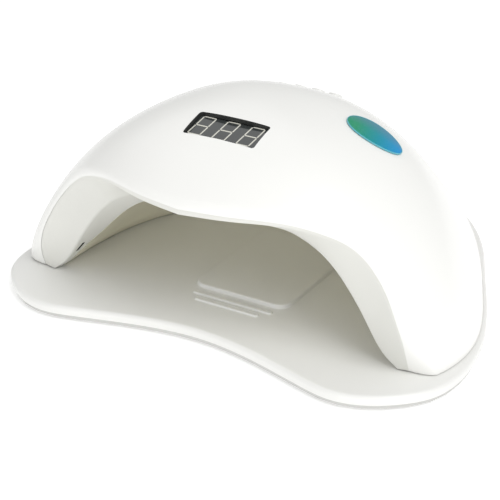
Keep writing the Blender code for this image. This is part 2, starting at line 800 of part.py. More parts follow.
def add_frame(cover):
    """The bottom frame that the cover is screwed to, with the magnets on it."""
    slab = slab_mesh("bottom_frame", frame_outline(), RIM_Z, FRAME_TOP)
    frame = add_part("bottom_frame", slab, warm_white)
    for end, x, y in mirrored_places(MAGNET_PLACES):
        magnet = rod_mesh("dock_magnet_" + end, MAGNET_RADIUS, MAGNET_THICKNESS, 20)
        add_part("dock_magnet_" + end, magnet, nickel, Matrix.Translation((x, y, FRAME_TOP + GAP)))
    add_screws("cover_screw", SCREW_PLACES, RIM_Z, SCREW_LENGTH, (frame, cover))


# ---- display -------------------------------------------------------------------------------
def window_levels(place):
    """Local heights of the glass's face, its seat under the cover and its back."""
    half_width = WINDOW_WIDTH / 2 + WINDOW_FLANGE
    half_depth = WINDOW_DEPTH / 2 + WINDOW_FLANGE
    corners = [(half_width, half_depth), (half_width, -half_depth)]
    deepest = max(inner_depth(place, x, y) for x, y in corners)
    seat = -deepest - SHELL_TOLERANCE - GAP
    return -WINDOW_RECESS, seat, seat - GLASS_THICKNESS


def add_display(cover):
    """The smoked window set into the dome, the digit module and the control board under it."""
    place = surface_place(0.0, WINDOW_Y)
    face, seat, back = window_levels(place)
    hole = rounded_rectangle(WINDOW_WIDTH, WINDOW_DEPTH, WINDOW_CORNER, 2)
    combine(cover, add_cutter("window_hole", slab_mesh("window_hole", hole, 2 * back, 0.005), place))
    fit = rounded_rectangle(WINDOW_WIDTH - 2 * GAP, WINDOW_DEPTH - 2 * GAP, WINDOW_CORNER - GAP, 2)
    flange = rounded_rectangle(WINDOW_WIDTH + 2 * WINDOW_FLANGE, WINDOW_DEPTH + 2 * WINDOW_FLANGE,
                               WINDOW_CORNER, 2)
    glass = add_part("display_window", slab_mesh("display_window", flange, back, seat),
                     smoked_glass, place)
    raised = add_cutter("window_raised", slab_mesh("window_raised", fit, back + GAP, face), place)
    combine(glass, raised, "UNION")
    top = back - GAP
    size = (WINDOW_WIDTH - 0.002, WINDOW_DEPTH - 0.001, MODULE_THICKNESS)
    module = box_mesh("digit_module", size, (0, 0, top - MODULE_THICKNESS / 2))
    add_part("digit_module", module, black_plastic, place)
    corner = place @ Vector((0, -size[1] / 2, top - MODULE_THICKNESS))
    board_top = corner.z - GAP
    board_size = (*CONTROL_BOARD_SIZE, BOARD_THICKNESS)
    centre = (0, WINDOW_Y + size[1] / 2, board_top - BOARD_THICKNESS / 2)
    board = add_part("control_board", box_mesh("control_board", board_size), board_green,
                     Matrix.Translation(centre))
    chip = box_mesh("control_chip", (0.009, 0.009, 0.0024))
    chip_place = Matrix.Translation((0.010, centre[1] + 0.010, board_top + 0.0007))
    combine(board, add_cutter("control_chip", chip, chip_place), "UNION")
    return centre


# ---- buttons -------------------------------------------------------------------------------
def button_profile(surface, flange_top, stem_end):
    """Half section of a button from its stem's end to the middle of its crowned cap."""
    top = surface + BUTTON_PROUD
    flange_bottom = flange_top - BUTTON_FLANGE
    flange_radius = BUTTON_RADIUS + BUTTON_FLANGE
    return ((0.0, stem_end), (STEM_RADIUS, stem_end), (STEM_RADIUS, flange_bottom),
            (flange_radius, flange_bottom), (flange_radius, flange_top),
            (BUTTON_RADIUS, flange_top), (BUTTON_RADIUS, top - 0.0005),
            (BUTTON_RADIUS * 0.88, top - 0.00012), (BUTTON_RADIUS * 0.5, top), (0.0, top))


def button_levels(place, x):
    """Local heights of the dome's surface and of the flange's top for a button at local x."""
    point = place @ Vector((x, 0, 0))
    surface = (place.inverted() @ Vector((point.x, point.y, dome_height(point.x, point.y)))).z
    ring = BUTTON_RADIUS + BUTTON_FLANGE
    around = [inner_depth(place, x + ring * cos(k * pi / 6), ring * sin(k * pi / 6))
              for k in range(12)]
    return surface, -max(around) - SHELL_TOLERANCE - GAP


def add_button(cover, label, spot, levels, switch_top):
    """One timer button in its hole and the small switch that its stem reaches into."""
    surface, flange_top = levels
    profile = button_profile(surface, flange_top, switch_top - STEM_ENGAGEMENT)
    cap = turned_mesh("button_" + label, profile, BUTTON_SEGMENTS)
    add_part("button_" + label, cap, white_satin, spot)
    reach = BUTTON_PROUD - flange_top
    hole = rod_mesh("button_hole_" + label, BUTTON_RADIUS + MOVING_GAP, 2 * reach, BUTTON_SEGMENTS,
                    base_z=-reach)
    combine(cover, add_cutter("button_hole_" + label, hole, spot))
    body = box_mesh("switch_" + label, (SWITCH_SIZE, SWITCH_SIZE, SWITCH_HEIGHT),
                    (0, 0, switch_top - SWITCH_HEIGHT / 2))
    switch = add_part("switch_" + label, body, black_plastic, spot)
    depth = STEM_ENGAGEMENT + BUTTON_TRAVEL + GAP
    well = rod_mesh("switch_well_" + label, STEM_RADIUS + MOVING_GAP, 2 * depth, 12,
                    base_z=switch_top - depth)
    combine(switch, add_cutter("switch_well_" + label, well, spot))


def add_buttons(cover):
    """Four timer buttons in a row, each over a small switch on the sloping switch board."""
    place = surface_place(0.0, BUTTON_Y)
    middle = (len(BUTTON_NAMES) - 1) / 2
    across = [(i - middle) * BUTTON_PITCH for i in range(len(BUTTON_NAMES))]
    levels = [button_levels(place, x) for x in across]
    lowest = min(flange_top for _, flange_top in levels) - BUTTON_FLANGE
    switch_top = lowest - BUTTON_TRAVEL - 2 * GAP
    for label, x, level in zip(BUTTON_NAMES, across, levels):
        add_button(cover, label, place @ Matrix.Translation((x, 0, 0)), level, switch_top)
    board_top = switch_top - SWITCH_HEIGHT - GAP
    length = BUTTON_PITCH * len(BUTTON_NAMES) + SWITCH_SIZE
    board = box_mesh("switch_board", (length, SWITCH_SIZE + SWITCH_BOARD_MARGIN, BOARD_THICKNESS),
                     (0, 0, board_top - BOARD_THICKNESS / 2))
    add_part("switch_board", board, board_green, place)


# ---- light strips --------------------------------------------------------------------------
def ceiling_height(x, y, outset):
    """Height of the cavity's ceiling over a point of the table."""
    shares = [0.2 + 0.3 * i / 40 for i in range(41)]
    samples = [cavity_point(cavity_along(y, share, outset), share, outset) for share in shares]
    xs = [p.x for p in samples]
    zs = [p.z for p in samples]
    return float(np.interp(abs(x), xs[::-1], zs[::-1]))


def add_strip(name, y, liner):
    """A board of light emitters above the liner, with their lenses in its holes."""
    half = STRIP_SIZE[1] / 2
    under = max(ceiling_height(0, y + side * half, LINER_WALL) for side in (-1, 0, 1)) + SHELL_TOLERANCE
    size = (*STRIP_SIZE, BOARD_THICKNESS)
    board = box_mesh(name, size, (0, y, under + BOARD_THICKNESS / 2))
    strip = add_part(name, board, board_white)
    for i in range(BEADS_PER_STRIP):
        x = (i - (BEADS_PER_STRIP - 1) / 2) * BEAD_PITCH
        tip = ceiling_height(x, y, 0.0)
        shoulder = tip + BEAD_RADIUS
        arc = [(BEAD_RADIUS * sin(k * pi / 6), shoulder - BEAD_RADIUS * cos(k * pi / 6))
               for k in range(4)]
        top = under + BOARD_THICKNESS / 2
        outline = [(0.0, tip), *arc[1:], (BEAD_RADIUS, top), (0.0, top)]
        bead_name = name + "_lens_" + str(i + 1)
        place = Matrix.Translation((x, y, 0))
        bead = add_cutter(bead_name, turned_mesh(bead_name, outline, 8), place)
        combine(strip, bead, "UNION")
        hole = rod_mesh(bead_name + "_hole", BEAD_RADIUS + BEAD_HOLE_CLEARANCE, 0.02, 12,
                        base_z=tip - 0.01)
        combine(liner, add_cutter(bead_name + "_hole", hole, place))
    return under + BOARD_THICKNESS


# ---- power, sensors, wires -----------------------------------------------------------------
def add_power(cover):
    """The driver board on the bottom frame and the DC jack in its opening at the rear."""
    board_z = FRAME_TOP + DRIVER_BOARD_LIFT
    size = (*DRIVER_BOARD_SIZE, BOARD_THICKNESS)
    board = add_part("driver_board", box_mesh("driver_board", size), board_green,
                     Matrix.Translation((0, DRIVER_BOARD_Y, board_z + BOARD_THICKNESS / 2)))
    top = board_z + BOARD_THICKNESS
    for name, x, y, radius, height in (("inductor", -0.018, 0.004, 0.0045, 0.007),
                                       ("capacitor_left", -0.006, -0.005, 0.0030, 0.009),
                                       ("capacitor_right", 0.021, -0.004, 0.0030, 0.009)):
        rod = rod_mesh(name, radius, height, 14, base_z=-0.0004)
        item = add_cutter(name, rod, Matrix.Translation((x, DRIVER_BOARD_Y + y, top)))
        combine(board, item, "UNION")
    jack_y = DRIVER_BOARD_Y + DRIVER_BOARD_SIZE[1] / 2
    middle_z = top + GAP + JACK_SIZE[2] / 2
    place = Matrix.Translation((0, jack_y, middle_z))
    jack = add_part("dc_jack", box_mesh("dc_jack", JACK_SIZE), black_plastic, place)
    mouth = JACK_SIZE[1] / 2
    depth = JACK_SIZE[1] - 0.003
    ring = ((JACK_PIN, -0.002), (JACK_BORE, -0.002), (JACK_BORE, depth), (JACK_PIN, depth),
            (JACK_PIN, -0.002))
    bore = add_cutter("jack_bore", turned_mesh("jack_bore", ring, 16),
                      place @ Matrix.Translation((0, mouth, 0)) @ Matrix.Rotation(pi / 2, 4, "X"))
    combine(jack, bore)
    width = JACK_SIZE[0] + 2 * JACK_OPENING_MARGIN
    opening = rounded_rectangle(width, width, 0.002, 3)
    reach = 0.05
    hole = slab_mesh("jack_hole", opening, -reach, JACK_SIZE[1] / 2)
    hole_place = place @ Matrix.Rotation(pi / 2, 4, "X")
    combine(cover, add_cutter("jack_hole", hole, hole_place))
    return top


def return_middle(share):
    """A point half way down the return's wall, and the direction from its front to its rear."""
    x, z = OPENING(share)
    near = Vector((x, OPENING_Y, RIM_Z + z))
    x, depth, z = THROAT(share)
    far = Vector((x, OPENING_Y + depth, RIM_Z + z))
    return (near + far) / 2, far - near


def sensor_place(side):
    """A frame on the return's wall: X along the outline, Z into the head, away from the cavity."""
    low, high = 0.0, 0.5
    for _ in range(30):
        middle = (low + high) / 2
        if return_middle(middle)[0].z < RIM_Z + SENSOR_HEIGHT:
            low = middle
        else:
            high = middle
    share = high if side > 0 else 1 - high
    point, across = return_middle(share)
    step = 0.01
    along = (return_middle(share + step)[0] - return_middle(share - step)[0]).normalized()
    outward = along.cross(across).normalized()
    if outward.x * side < 0:
        outward = -outward
    back = outward.cross(along).normalized()
    place = Matrix((along, back, outward)).transposed().to_4x4()
    place.translation = point
    return place


def add_sensors(bezel):
    """Infrared windows in the return's two walls, each with its own little board behind."""
    for side, end in ((1, "right"), (-1, "left")):
        place = sensor_place(side)
        slot = box_mesh("sensor_slot_" + end, (SENSOR_LENGTH, SENSOR_WIDTH, 0.012))
        combine(bezel, add_cutter("sensor_slot_" + end, slot, place))
        start = 0.0004
        end_z = BEZEL_WALL + SENSOR_WINDOW_REACH
        window = box_mesh("ir_window_" + end,
                          (SENSOR_LENGTH - 2 * GAP, SENSOR_WIDTH - 2 * GAP, end_z - start),
                          (0, 0, (start + end_z) / 2))
        add_part("ir_window_" + end, window, smoked_glass, place)
        board = box_mesh("sensor_board_" + end, SENSOR_BOARD_SIZE,
                         (0, -SENSOR_BOARD_SETBACK, end_z + GAP + SENSOR_BOARD_SIZE[2] / 2))
        add_part("sensor_board_" + end, board, board_green, place)


def add_wire(name, points, finish=wire_white):
    """A round wire through the points, its route smoothed."""
    path = smooth_path(points)
    count = 14
    curve = bpy.data.curves.new(name, "CURVE")
    curve.dimensions = "3D"
    curve.bevel_depth = WIRE_RADIUS
    curve.bevel_resolution = 2
    curve.use_fill_caps = True
    spline = curve.splines.new("POLY")
    spline.points.add(count)
    for i, point in enumerate(spline.points):
        point.co = (*path(i / count), 1.0)
    add_part(name, curve, finish)


def badge_mesh():
    """The badge's underside, an oval sheet that follows the dome just above it."""
    centre = Vector((BADGE_X, BADGE_Y, dome_height(BADGE_X, BADGE_Y)))
    normal = dome_normal(BADGE_X, BADGE_Y)
    slant = Vector((1.0, 0.33, 0.0))
    long_axis = (slant - normal * slant.dot(normal)).normalized()
    short_axis = normal.cross(long_axis)
    segments = 28
    rings = 2

    def surface(ring, step):
        angle = 2 * pi * step / segments
        size = ring / rings
        flat = centre + long_axis * (BADGE_LONG / 2 * size * cos(angle)) \
            + short_axis * (BADGE_SHORT / 2 * size * sin(angle))
        lifted = Vector((flat.x, flat.y, dome_height(flat.x, flat.y)))
        return lifted + dome_normal(flat.x, flat.y) * GAP

    def build(bm):
        middle = bm.verts.new(centre + normal * GAP)
        previous = None
        for ring in range(1, rings + 1):
            verts = [bm.verts.new(surface(ring, step)) for step in range(segments)]
            for i in range(segments):
                after = (i + 1) % segments
                if previous is None:
                    bm.faces.new((middle, verts[i], verts[after]))
                else:
                    bm.faces.new((previous[i], verts[i], verts[after], previous[after]))
            previous = verts
    return mesh_from("badge", build)


def add_badge():
    """The oval badge on the dome's right shoulder."""
    badge = add_part("badge", badge_mesh(), badge_blue)
    solid = badge.modifiers.new("thickness", "SOLIDIFY")
    solid.thickness = BADGE_THICKNESS
    solid.offset = 1.0


def add_harness(driver_top, strip_top, control_centre):
    """The wires inside the head, each along its own route between two boards."""
    control_x, control_y = control_centre[0], control_centre[1]
    rear_edge = control_y + CONTROL_BOARD_SIZE[1] / 2 + GAP
    side_edge = CONTROL_BOARD_SIZE[0] / 2 + GAP
    lift = WIRE_RADIUS + GAP
    board_y = DRIVER_BOARD_Y - DRIVER_BOARD_SIZE[1] / 2
    add_wire("wire_light", ((-0.026, board_y + 0.010, driver_top + lift),
                            (-0.026, board_y + 0.004, driver_top + 0.006),
                            (-0.026, board_y, 0.0400), (-0.027, 0.0340, 0.0560),
                            (-0.028, STRIP_Y[-1] + 0.012, strip_top + 0.004),
                            (-0.028, STRIP_Y[-1] + 0.003, strip_top + lift)))
    add_wire("wire_control", ((0.010, board_y + 0.010, driver_top + lift),
                              (0.010, board_y + 0.004, driver_top + 0.006),
                              (0.012, board_y - 0.002, 0.0420), (0.016, 0.0300, 0.0620),
                              (0.018, 0.0080, 0.0715), (0.016, -0.0200, control_centre[2] - 0.001),
                              (control_x + 0.014, rear_edge, control_centre[2])))
    for side, end in ((1, "right"), (-1, "left")):
        place = sensor_place(side)
        start = BEZEL_WALL + SENSOR_WINDOW_REACH + SENSOR_BOARD_SIZE[2] + 2 * GAP
        add_wire("wire_sensor_" + end, (place @ Vector((0, 0, start)),
                                        place @ Vector((0, 0.002, start + 0.004)),
                                        (side * 0.0780, -0.0600, 0.0360),
                                        (side * 0.0660, -0.0600, 0.0530),
                                        (side * 0.0480, -0.0620, 0.0670),
                                        (side * 0.0330, control_y, control_centre[2]),
                                        (side * side_edge, control_y, control_centre[2])))


def main():
    """Build every sub-part of the lamp."""
    clear_scene()
    add_base()
    cover = add_cover()
    bezel = add_bezel()
    liner = add_liner()
    add_bosses(cover)
    add_frame(cover)
    control_centre = add_display(cover)
    add_buttons(cover)
    strip_tops = [add_strip("light_strip_" + end, y, liner)
                  for end, y in zip(("front", "middle", "rear"), STRIP_Y)]
    driver_top = add_power(cover)
    add_sensors(bezel)
    add_badge()
    add_harness(driver_top, strip_tops[-1], control_centre)


main()
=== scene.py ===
"""Looks of the uv curing lamp: a lift-off domed lamp head on a lobed base plate.

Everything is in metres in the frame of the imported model: +Z up, the hand opening towards -Y.
"""
import logging
from dataclasses import dataclass, field
from enum import Enum
from math import cos, pi, radians, sin
from typing import Iterable, Optional, Sequence

import bmesh
import bpy
import numpy as np
from mathutils import Matrix, Vector


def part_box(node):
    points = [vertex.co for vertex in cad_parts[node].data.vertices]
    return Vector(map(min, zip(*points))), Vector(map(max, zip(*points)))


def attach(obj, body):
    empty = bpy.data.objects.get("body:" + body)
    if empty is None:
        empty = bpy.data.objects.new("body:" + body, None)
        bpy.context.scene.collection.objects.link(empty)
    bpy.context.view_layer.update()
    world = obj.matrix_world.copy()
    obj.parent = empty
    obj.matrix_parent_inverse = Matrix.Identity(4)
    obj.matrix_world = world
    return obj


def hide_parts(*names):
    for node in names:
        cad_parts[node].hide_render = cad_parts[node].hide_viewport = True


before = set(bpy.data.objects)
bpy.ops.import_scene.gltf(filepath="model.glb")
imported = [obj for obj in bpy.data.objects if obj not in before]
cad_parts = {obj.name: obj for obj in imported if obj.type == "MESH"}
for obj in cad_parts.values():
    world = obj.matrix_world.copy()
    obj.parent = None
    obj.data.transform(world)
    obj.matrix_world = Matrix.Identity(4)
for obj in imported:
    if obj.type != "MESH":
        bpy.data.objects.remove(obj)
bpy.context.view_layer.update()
LOG = logging.getLogger("lamp")

Colour = tuple[float, float, float]
Socket = bpy.types.NodeSocket
Point = tuple[float, float]


# ---- node helpers --------------------------------------------------------------------------
class Graph:
    """A node tree with short ways to add and join nodes."""

    def __init__(self, tree: bpy.types.NodeTree) -> None:
        """Keep the tree."""
        self.tree = tree

    def node(self, kind: str, **settings: object) -> bpy.types.Node:
        """Add a node.

        Args:
            kind: Blender's node type name.
            **settings: Attributes of the node to set.

        Returns:
            The new node.
        """
        made = self.tree.nodes.new(kind)
        for key, value in settings.items():
            setattr(made, key, value)
        return made

    def feed(self, target: Socket, source: object) -> None:
        """Link a socket to the target, or set the target to a plain value."""
        if isinstance(source, bpy.types.NodeSocket):
            self.tree.links.new(source, target)
        else:
            target.default_value = source

    def noise(self, place: Socket, scale: object, detail: float = 2.0, rough: float = 0.5) -> Socket:
        """Add a noise texture and return its value."""
        made = self.node("ShaderNodeTexNoise")
        self.feed(made.inputs["Vector"], place)
        self.feed(made.inputs["Scale"], scale)
        made.inputs["Detail"].default_value = detail
        made.inputs["Roughness"].default_value = rough
        return made.outputs["Fac"]

    def spread(self, value: Socket, low: object, high: object,
               start: float = 0.3, end: float = 0.7) -> Socket:
        """Map a value from the range start to end onto the range low to high."""
        made = self.node("ShaderNodeMapRange")
        self.feed(made.inputs["Value"], value)
        made.inputs["From Min"].default_value = start
        made.inputs["From Max"].default_value = end
        self.feed(made.inputs["To Min"], low)
        self.feed(made.inputs["To Max"], high)
        return made.outputs["Result"]

    def sum(self, first: object, second: object, operation: str = "ADD") -> Socket:
        """Combine two values with a Math node."""
        made = self.node("ShaderNodeMath", operation=operation)
        self.feed(made.inputs[0], first)
        self.feed(made.inputs[1], second)
        return made.outputs[0]

    def blend(self, share: object, first: object, second: object, mode: str = "MIX") -> Socket:
        """Mix two colours."""
        made = self.node("ShaderNodeMix", data_type="RGBA", blend_type=mode)
        self.feed(made.inputs[0], share)
        self.feed(made.inputs[6], first)
        self.feed(made.inputs[7], second)
        return made.outputs[2]

    def ramp(self, value: Socket, stops: Sequence[tuple[float, Colour]]) -> Socket:
        """Turn a value into a colour along the stops."""
        made = self.node("ShaderNodeValToRGB")
        self.feed(made.inputs[0], value)
        elements = made.color_ramp.elements
        for index, (at, colour) in enumerate(stops):
            element = elements[index] if index < 2 else elements.new(at)
            element.position = at
            element.color = (*colour, 1.0)
        return made.outputs[0]

    def group(self, made: bpy.types.NodeTree, **inputs: object) -> bpy.types.Node:
        """Place a node group and set or link its inputs by name."""
        placed = self.node("ShaderNodeGroup", node_tree=made)
        for name, value in inputs.items():
            self.feed(placed.inputs[name.replace("_", " ")], value)
        return placed


class Effect(Enum):
    """Surface effects that several finishes share."""

    MOULDED_GRAIN = "moulded_grain"
    HANDLING_MARKS = "handling_marks"
    BRUSHED_METAL = "brushed_metal"
    BOARD_TRACES = "board_traces"


@dataclass
class EffectShelf:
    """Builds each shared node group once."""

    made: dict[Effect, bpy.types.NodeTree] = field(default_factory=dict)

    def get(self, effect: Effect) -> bpy.types.NodeTree:
        """Return the group of an effect, building it on first use."""
        if effect not in self.made:
            builders = {Effect.MOULDED_GRAIN: self.moulded_grain,
                        Effect.HANDLING_MARKS: self.handling_marks,
                        Effect.BRUSHED_METAL: self.brushed_metal,
                        Effect.BOARD_TRACES: self.board_traces}
            self.made[effect] = builders[effect]()
        return self.made[effect]

    @staticmethod
    def begin(name: str, inputs: Iterable[tuple[str, str, object]],
              outputs: Iterable[tuple[str, str]]) -> tuple[Graph, bpy.types.Node, bpy.types.Node]:
        """Start a group.

        Args:
            name: Name of the group.
            inputs: Name, socket type and default of each input.
            outputs: Name and socket type of each output.

        Returns:
            The graph, its input node and its output node.
        """
        tree = bpy.data.node_groups.new(name, "ShaderNodeTree")
        for label, kind, default in inputs:
            socket = tree.interface.new_socket(label, in_out="INPUT", socket_type=kind)
            socket.default_value = default
        for label, kind in outputs:
            tree.interface.new_socket(label, in_out="OUTPUT", socket_type=kind)
        graph = Graph(tree)
        return graph, graph.node("NodeGroupInput"), graph.node("NodeGroupOutput")

    def moulded_grain(self) -> bpy.types.NodeTree:
        """Fine spark-eroded grain with slow colour drift, as on injection moulded plastic."""
        graph, given, out = self.begin(
            "moulded_grain",
            (("Base", "NodeSocketColor", (0.8, 0.8, 0.8, 1.0)),
             ("Shade", "NodeSocketColor", (0.7, 0.7, 0.7, 1.0)),
             ("Grain Scale", "NodeSocketFloat", 1800.0), ("Drift Scale", "NodeSocketFloat", 18.0),
             ("Roughness", "NodeSocketFloat", 0.3), ("Roughness Spread", "NodeSocketFloat", 0.05)),
            (("Colour", "NodeSocketColor"), ("Roughness", "NodeSocketFloat"),
             ("Height", "NodeSocketFloat")))
        place = graph.node("ShaderNodeTexCoord").outputs["Object"]
        fine = graph.noise(place, given.outputs["Grain Scale"], 3.0, 0.6)
        slow = graph.noise(place, given.outputs["Drift Scale"], 2.0, 0.5)
        colour = graph.blend(graph.spread(slow, 0.0, 1.0), given.outputs["Base"],
                             given.outputs["Shade"])
        high = graph.sum(given.outputs["Roughness"], given.outputs["Roughness Spread"])
        graph.feed(out.inputs["Colour"], colour)
        graph.feed(out.inputs["Roughness"], graph.spread(slow, given.outputs["Roughness"], high))
        graph.feed(out.inputs["Height"], fine)
        return graph.tree

    def handling_marks(self) -> bpy.types.NodeTree:
        """Soft smears and hair-fine rubs that change the gloss of a handled surface."""
        graph, given, out = self.begin(
            "handling_marks",
            (("Roughness", "NodeSocketFloat", 0.2), ("Smear", "NodeSocketFloat", 0.06),
             ("Rubs", "NodeSocketFloat", 0.05), ("Scale", "NodeSocketFloat", 30.0)),
            (("Roughness", "NodeSocketFloat"), ("Mask", "NodeSocketFloat")))
        place = graph.node("ShaderNodeTexCoord").outputs["Object"]
        smear = graph.spread(graph.noise(place, given.outputs["Scale"], 4.0, 0.65), 0.0, 1.0,
                             0.45, 0.75)
        stretch = graph.node("ShaderNodeMapping")
        stretch.inputs["Scale"].default_value = (1.0, 14.0, 4.0)
        stretch.inputs["Rotation"].default_value = (0.3, 0.2, 0.6)
        graph.feed(stretch.inputs["Vector"], place)
        rubs = graph.spread(graph.noise(stretch.outputs[0], 160.0, 5.0, 0.7), 0.0, 1.0, 0.62, 0.72)
        smeared = graph.sum(smear, given.outputs["Smear"], "MULTIPLY")
        rubbed = graph.sum(rubs, given.outputs["Rubs"], "MULTIPLY")
        total = graph.sum(graph.sum(given.outputs["Roughness"], smeared), rubbed)
        graph.feed(out.inputs["Roughness"], total)
        graph.feed(out.inputs["Mask"], graph.sum(smear, rubs, "MAXIMUM"))
        return graph.tree

    def brushed_metal(self) -> bpy.types.NodeTree:
        """Turning marks and faint tarnish on small metal pieces."""
        graph, given, out = self.begin(
            "brushed_metal",
            (("Base", "NodeSocketColor", (0.6, 0.6, 0.6, 1.0)),
             ("Tarnish", "NodeSocketColor", (0.35, 0.33, 0.3, 1.0)),
             ("Roughness", "NodeSocketFloat", 0.3)),
            (("Colour", "NodeSocketColor"), ("Roughness", "NodeSocketFloat"),
             ("Height", "NodeSocketFloat")))
        place = graph.node("ShaderNodeTexCoord").outputs["Object"]
        stretch = graph.node("ShaderNodeMapping")
        stretch.inputs["Scale"].default_value = (1.0, 22.0, 1.0)
        graph.feed(stretch.inputs["Vector"], place)
        lines = graph.noise(stretch.outputs[0], 500.0, 4.0, 0.7)
        spots = graph.spread(graph.noise(place, 220.0, 3.0, 0.6), 0.0, 0.6, 0.5, 0.75)
        graph.feed(out.inputs["Colour"], graph.blend(spots, given.outputs["Base"],
                                                     given.outputs["Tarnish"]))
        graph.feed(out.inputs["Roughness"],
                   graph.spread(lines, given.outputs["Roughness"],
                                graph.sum(given.outputs["Roughness"], 0.18)))
        graph.feed(out.inputs["Height"], lines)
        return graph.tree

    def board_traces(self) -> bpy.types.NodeTree:
        """Copper traces under solder mask, and tinned pads, on a circuit board."""
        graph, given, out = self.begin(
            "board_traces",
            (("Mask", "NodeSocketColor", (0.02, 0.2, 0.08, 1.0)),
             ("Trace", "NodeSocketColor", (0.05, 0.32, 0.13, 1.0)),
             ("Scale", "NodeSocketFloat", 260.0)),
            (("Colour", "NodeSocketColor"), ("Height", "NodeSocketFloat"),
             ("Pads", "NodeSocketFloat")))
        place = graph.node("ShaderNodeTexCoord").outputs["Object"]
        brick = graph.node("ShaderNodeTexBrick", offset=0.35, squash=0.7, squash_frequency=3)
        graph.feed(brick.inputs["Vector"], place)
        graph.feed(brick.inputs["Scale"], given.outputs["Scale"])
        brick.inputs["Mortar Size"].default_value = 0.05
        cells = graph.node("ShaderNodeTexVoronoi")
        graph.feed(cells.inputs["Vector"], place)
        cells.inputs["Scale"].default_value = 420.0
        pads = graph.spread(cells.outputs["Distance"], 1.0, 0.0, 0.10, 0.14)
        traced = graph.blend(brick.outputs["Fac"], given.outputs["Mask"], given.outputs["Trace"])
        tinned = graph.blend(pads, traced, (0.62, 0.60, 0.52, 1.0))
        graph.feed(out.inputs["Colour"], tinned)
        graph.feed(out.inputs["Height"], graph.sum(brick.outputs["Fac"], pads, "MAXIMUM"))
        graph.feed(out.inputs["Pads"], pads)
        return graph.tree


EFFECTS = EffectShelf()


# ---- finishes ------------------------------------------------------------------------------
@dataclass(frozen=True)
class Finish:
    """What every finish has: a base colour and a name."""

    name: str
    colour: Colour

    def start(self) -> tuple[Graph, bpy.types.Node]:
        """Make an empty material of this name and return its graph and its shader."""
        material = bpy.data.materials.new(self.name)
        material.use_nodes = True
        material.diffuse_color = (*self.colour, 1.0)
        graph = Graph(material.node_tree)
        return graph, material.node_tree.nodes["Principled BSDF"]

    def bump(self, graph: Graph, shader: bpy.types.Node, height: Socket, strength: float,
             distance: float) -> None:
        """Drive the shader's normal from a height."""
        made = graph.node("ShaderNodeBump")
        made.inputs["Strength"].default_value = strength
        made.inputs["Distance"].default_value = distance
        graph.feed(made.inputs["Height"], height)
        graph.feed(shader.inputs["Normal"], made.outputs[0])

    def material(self) -> bpy.types.Material:
        """Return the finished material, made once."""
        found = bpy.data.materials.get(self.name)
        if found is None:
            self.paint()
            found = bpy.data.materials[self.name]
        return found

    def paint(self) -> None:
        """Build the nodes."""
        raise NotImplementedError


@dataclass(frozen=True)
class MouldedPlastic(Finish):
    """Injection moulded plastic, from high gloss to satin."""

    shade: Colour = (0.7, 0.7, 0.7)
    roughness: float = 0.3
    coat: float = 0.0
    grain: float = 0.05
    grain_scale: float = 1800.0
    smear: float = 0.05

    def paint(self) -> None:
        """Grain, colour drift, handling marks and a clear top skin."""
        graph, shader = self.start()
        skin = graph.group(EFFECTS.get(Effect.MOULDED_GRAIN), Base=(*self.colour, 1.0),
                           Shade=(*self.shade, 1.0), Grain_Scale=self.grain_scale,
                           Roughness=self.roughness)
        marks = graph.group(EFFECTS.get(Effect.HANDLING_MARKS),
                            Roughness=skin.outputs["Roughness"], Smear=self.smear)
        graph.feed(shader.inputs["Base Color"], skin.outputs["Colour"])
        graph.feed(shader.inputs["Roughness"], marks.outputs["Roughness"])
        shader.inputs["Coat Weight"].default_value = self.coat
        shader.inputs["Coat Roughness"].default_value = 0.08
        shader.inputs["IOR"].default_value = 1.49
        self.bump(graph, shader, skin.outputs["Height"], self.grain, 0.00004)


@dataclass(frozen=True)
class Metal(Finish):
    """Plated or plain steel."""

    tarnish: Colour = (0.35, 0.34, 0.32)
    roughness: float = 0.28

    def paint(self) -> None:
        """Turning marks and tarnish under a metallic shader."""
        graph, shader = self.start()
        skin = graph.group(EFFECTS.get(Effect.BRUSHED_METAL), Base=(*self.colour, 1.0),
                           Tarnish=(*self.tarnish, 1.0), Roughness=self.roughness)
        shader.inputs["Metallic"].default_value = 1.0
        graph.feed(shader.inputs["Base Color"], skin.outputs["Colour"])
        graph.feed(shader.inputs["Roughness"], skin.outputs["Roughness"])
        self.bump(graph, shader, skin.outputs["Height"], 0.15, 0.00003)


@dataclass(frozen=True)
class CircuitBoard(Finish):
    """A circuit board with traces and tinned pads."""

    trace: Colour = (0.05, 0.32, 0.13)

    def paint(self) -> None:
        """Solder mask, traces and pads."""
        graph, shader = self.start()
        skin = graph.group(EFFECTS.get(Effect.BOARD_TRACES), Mask=(*self.colour, 1.0),
                           Trace=(*self.trace, 1.0))
        graph.feed(shader.inputs["Base Color"], skin.outputs["Colour"])
        graph.feed(shader.inputs["Roughness"], graph.spread(skin.outputs["Pads"], 0.42, 0.22, 0, 1))
        graph.feed(shader.inputs["Metallic"], skin.outputs["Pads"])
        self.bump(graph, shader, skin.outputs["Height"], 0.4, 0.00005)


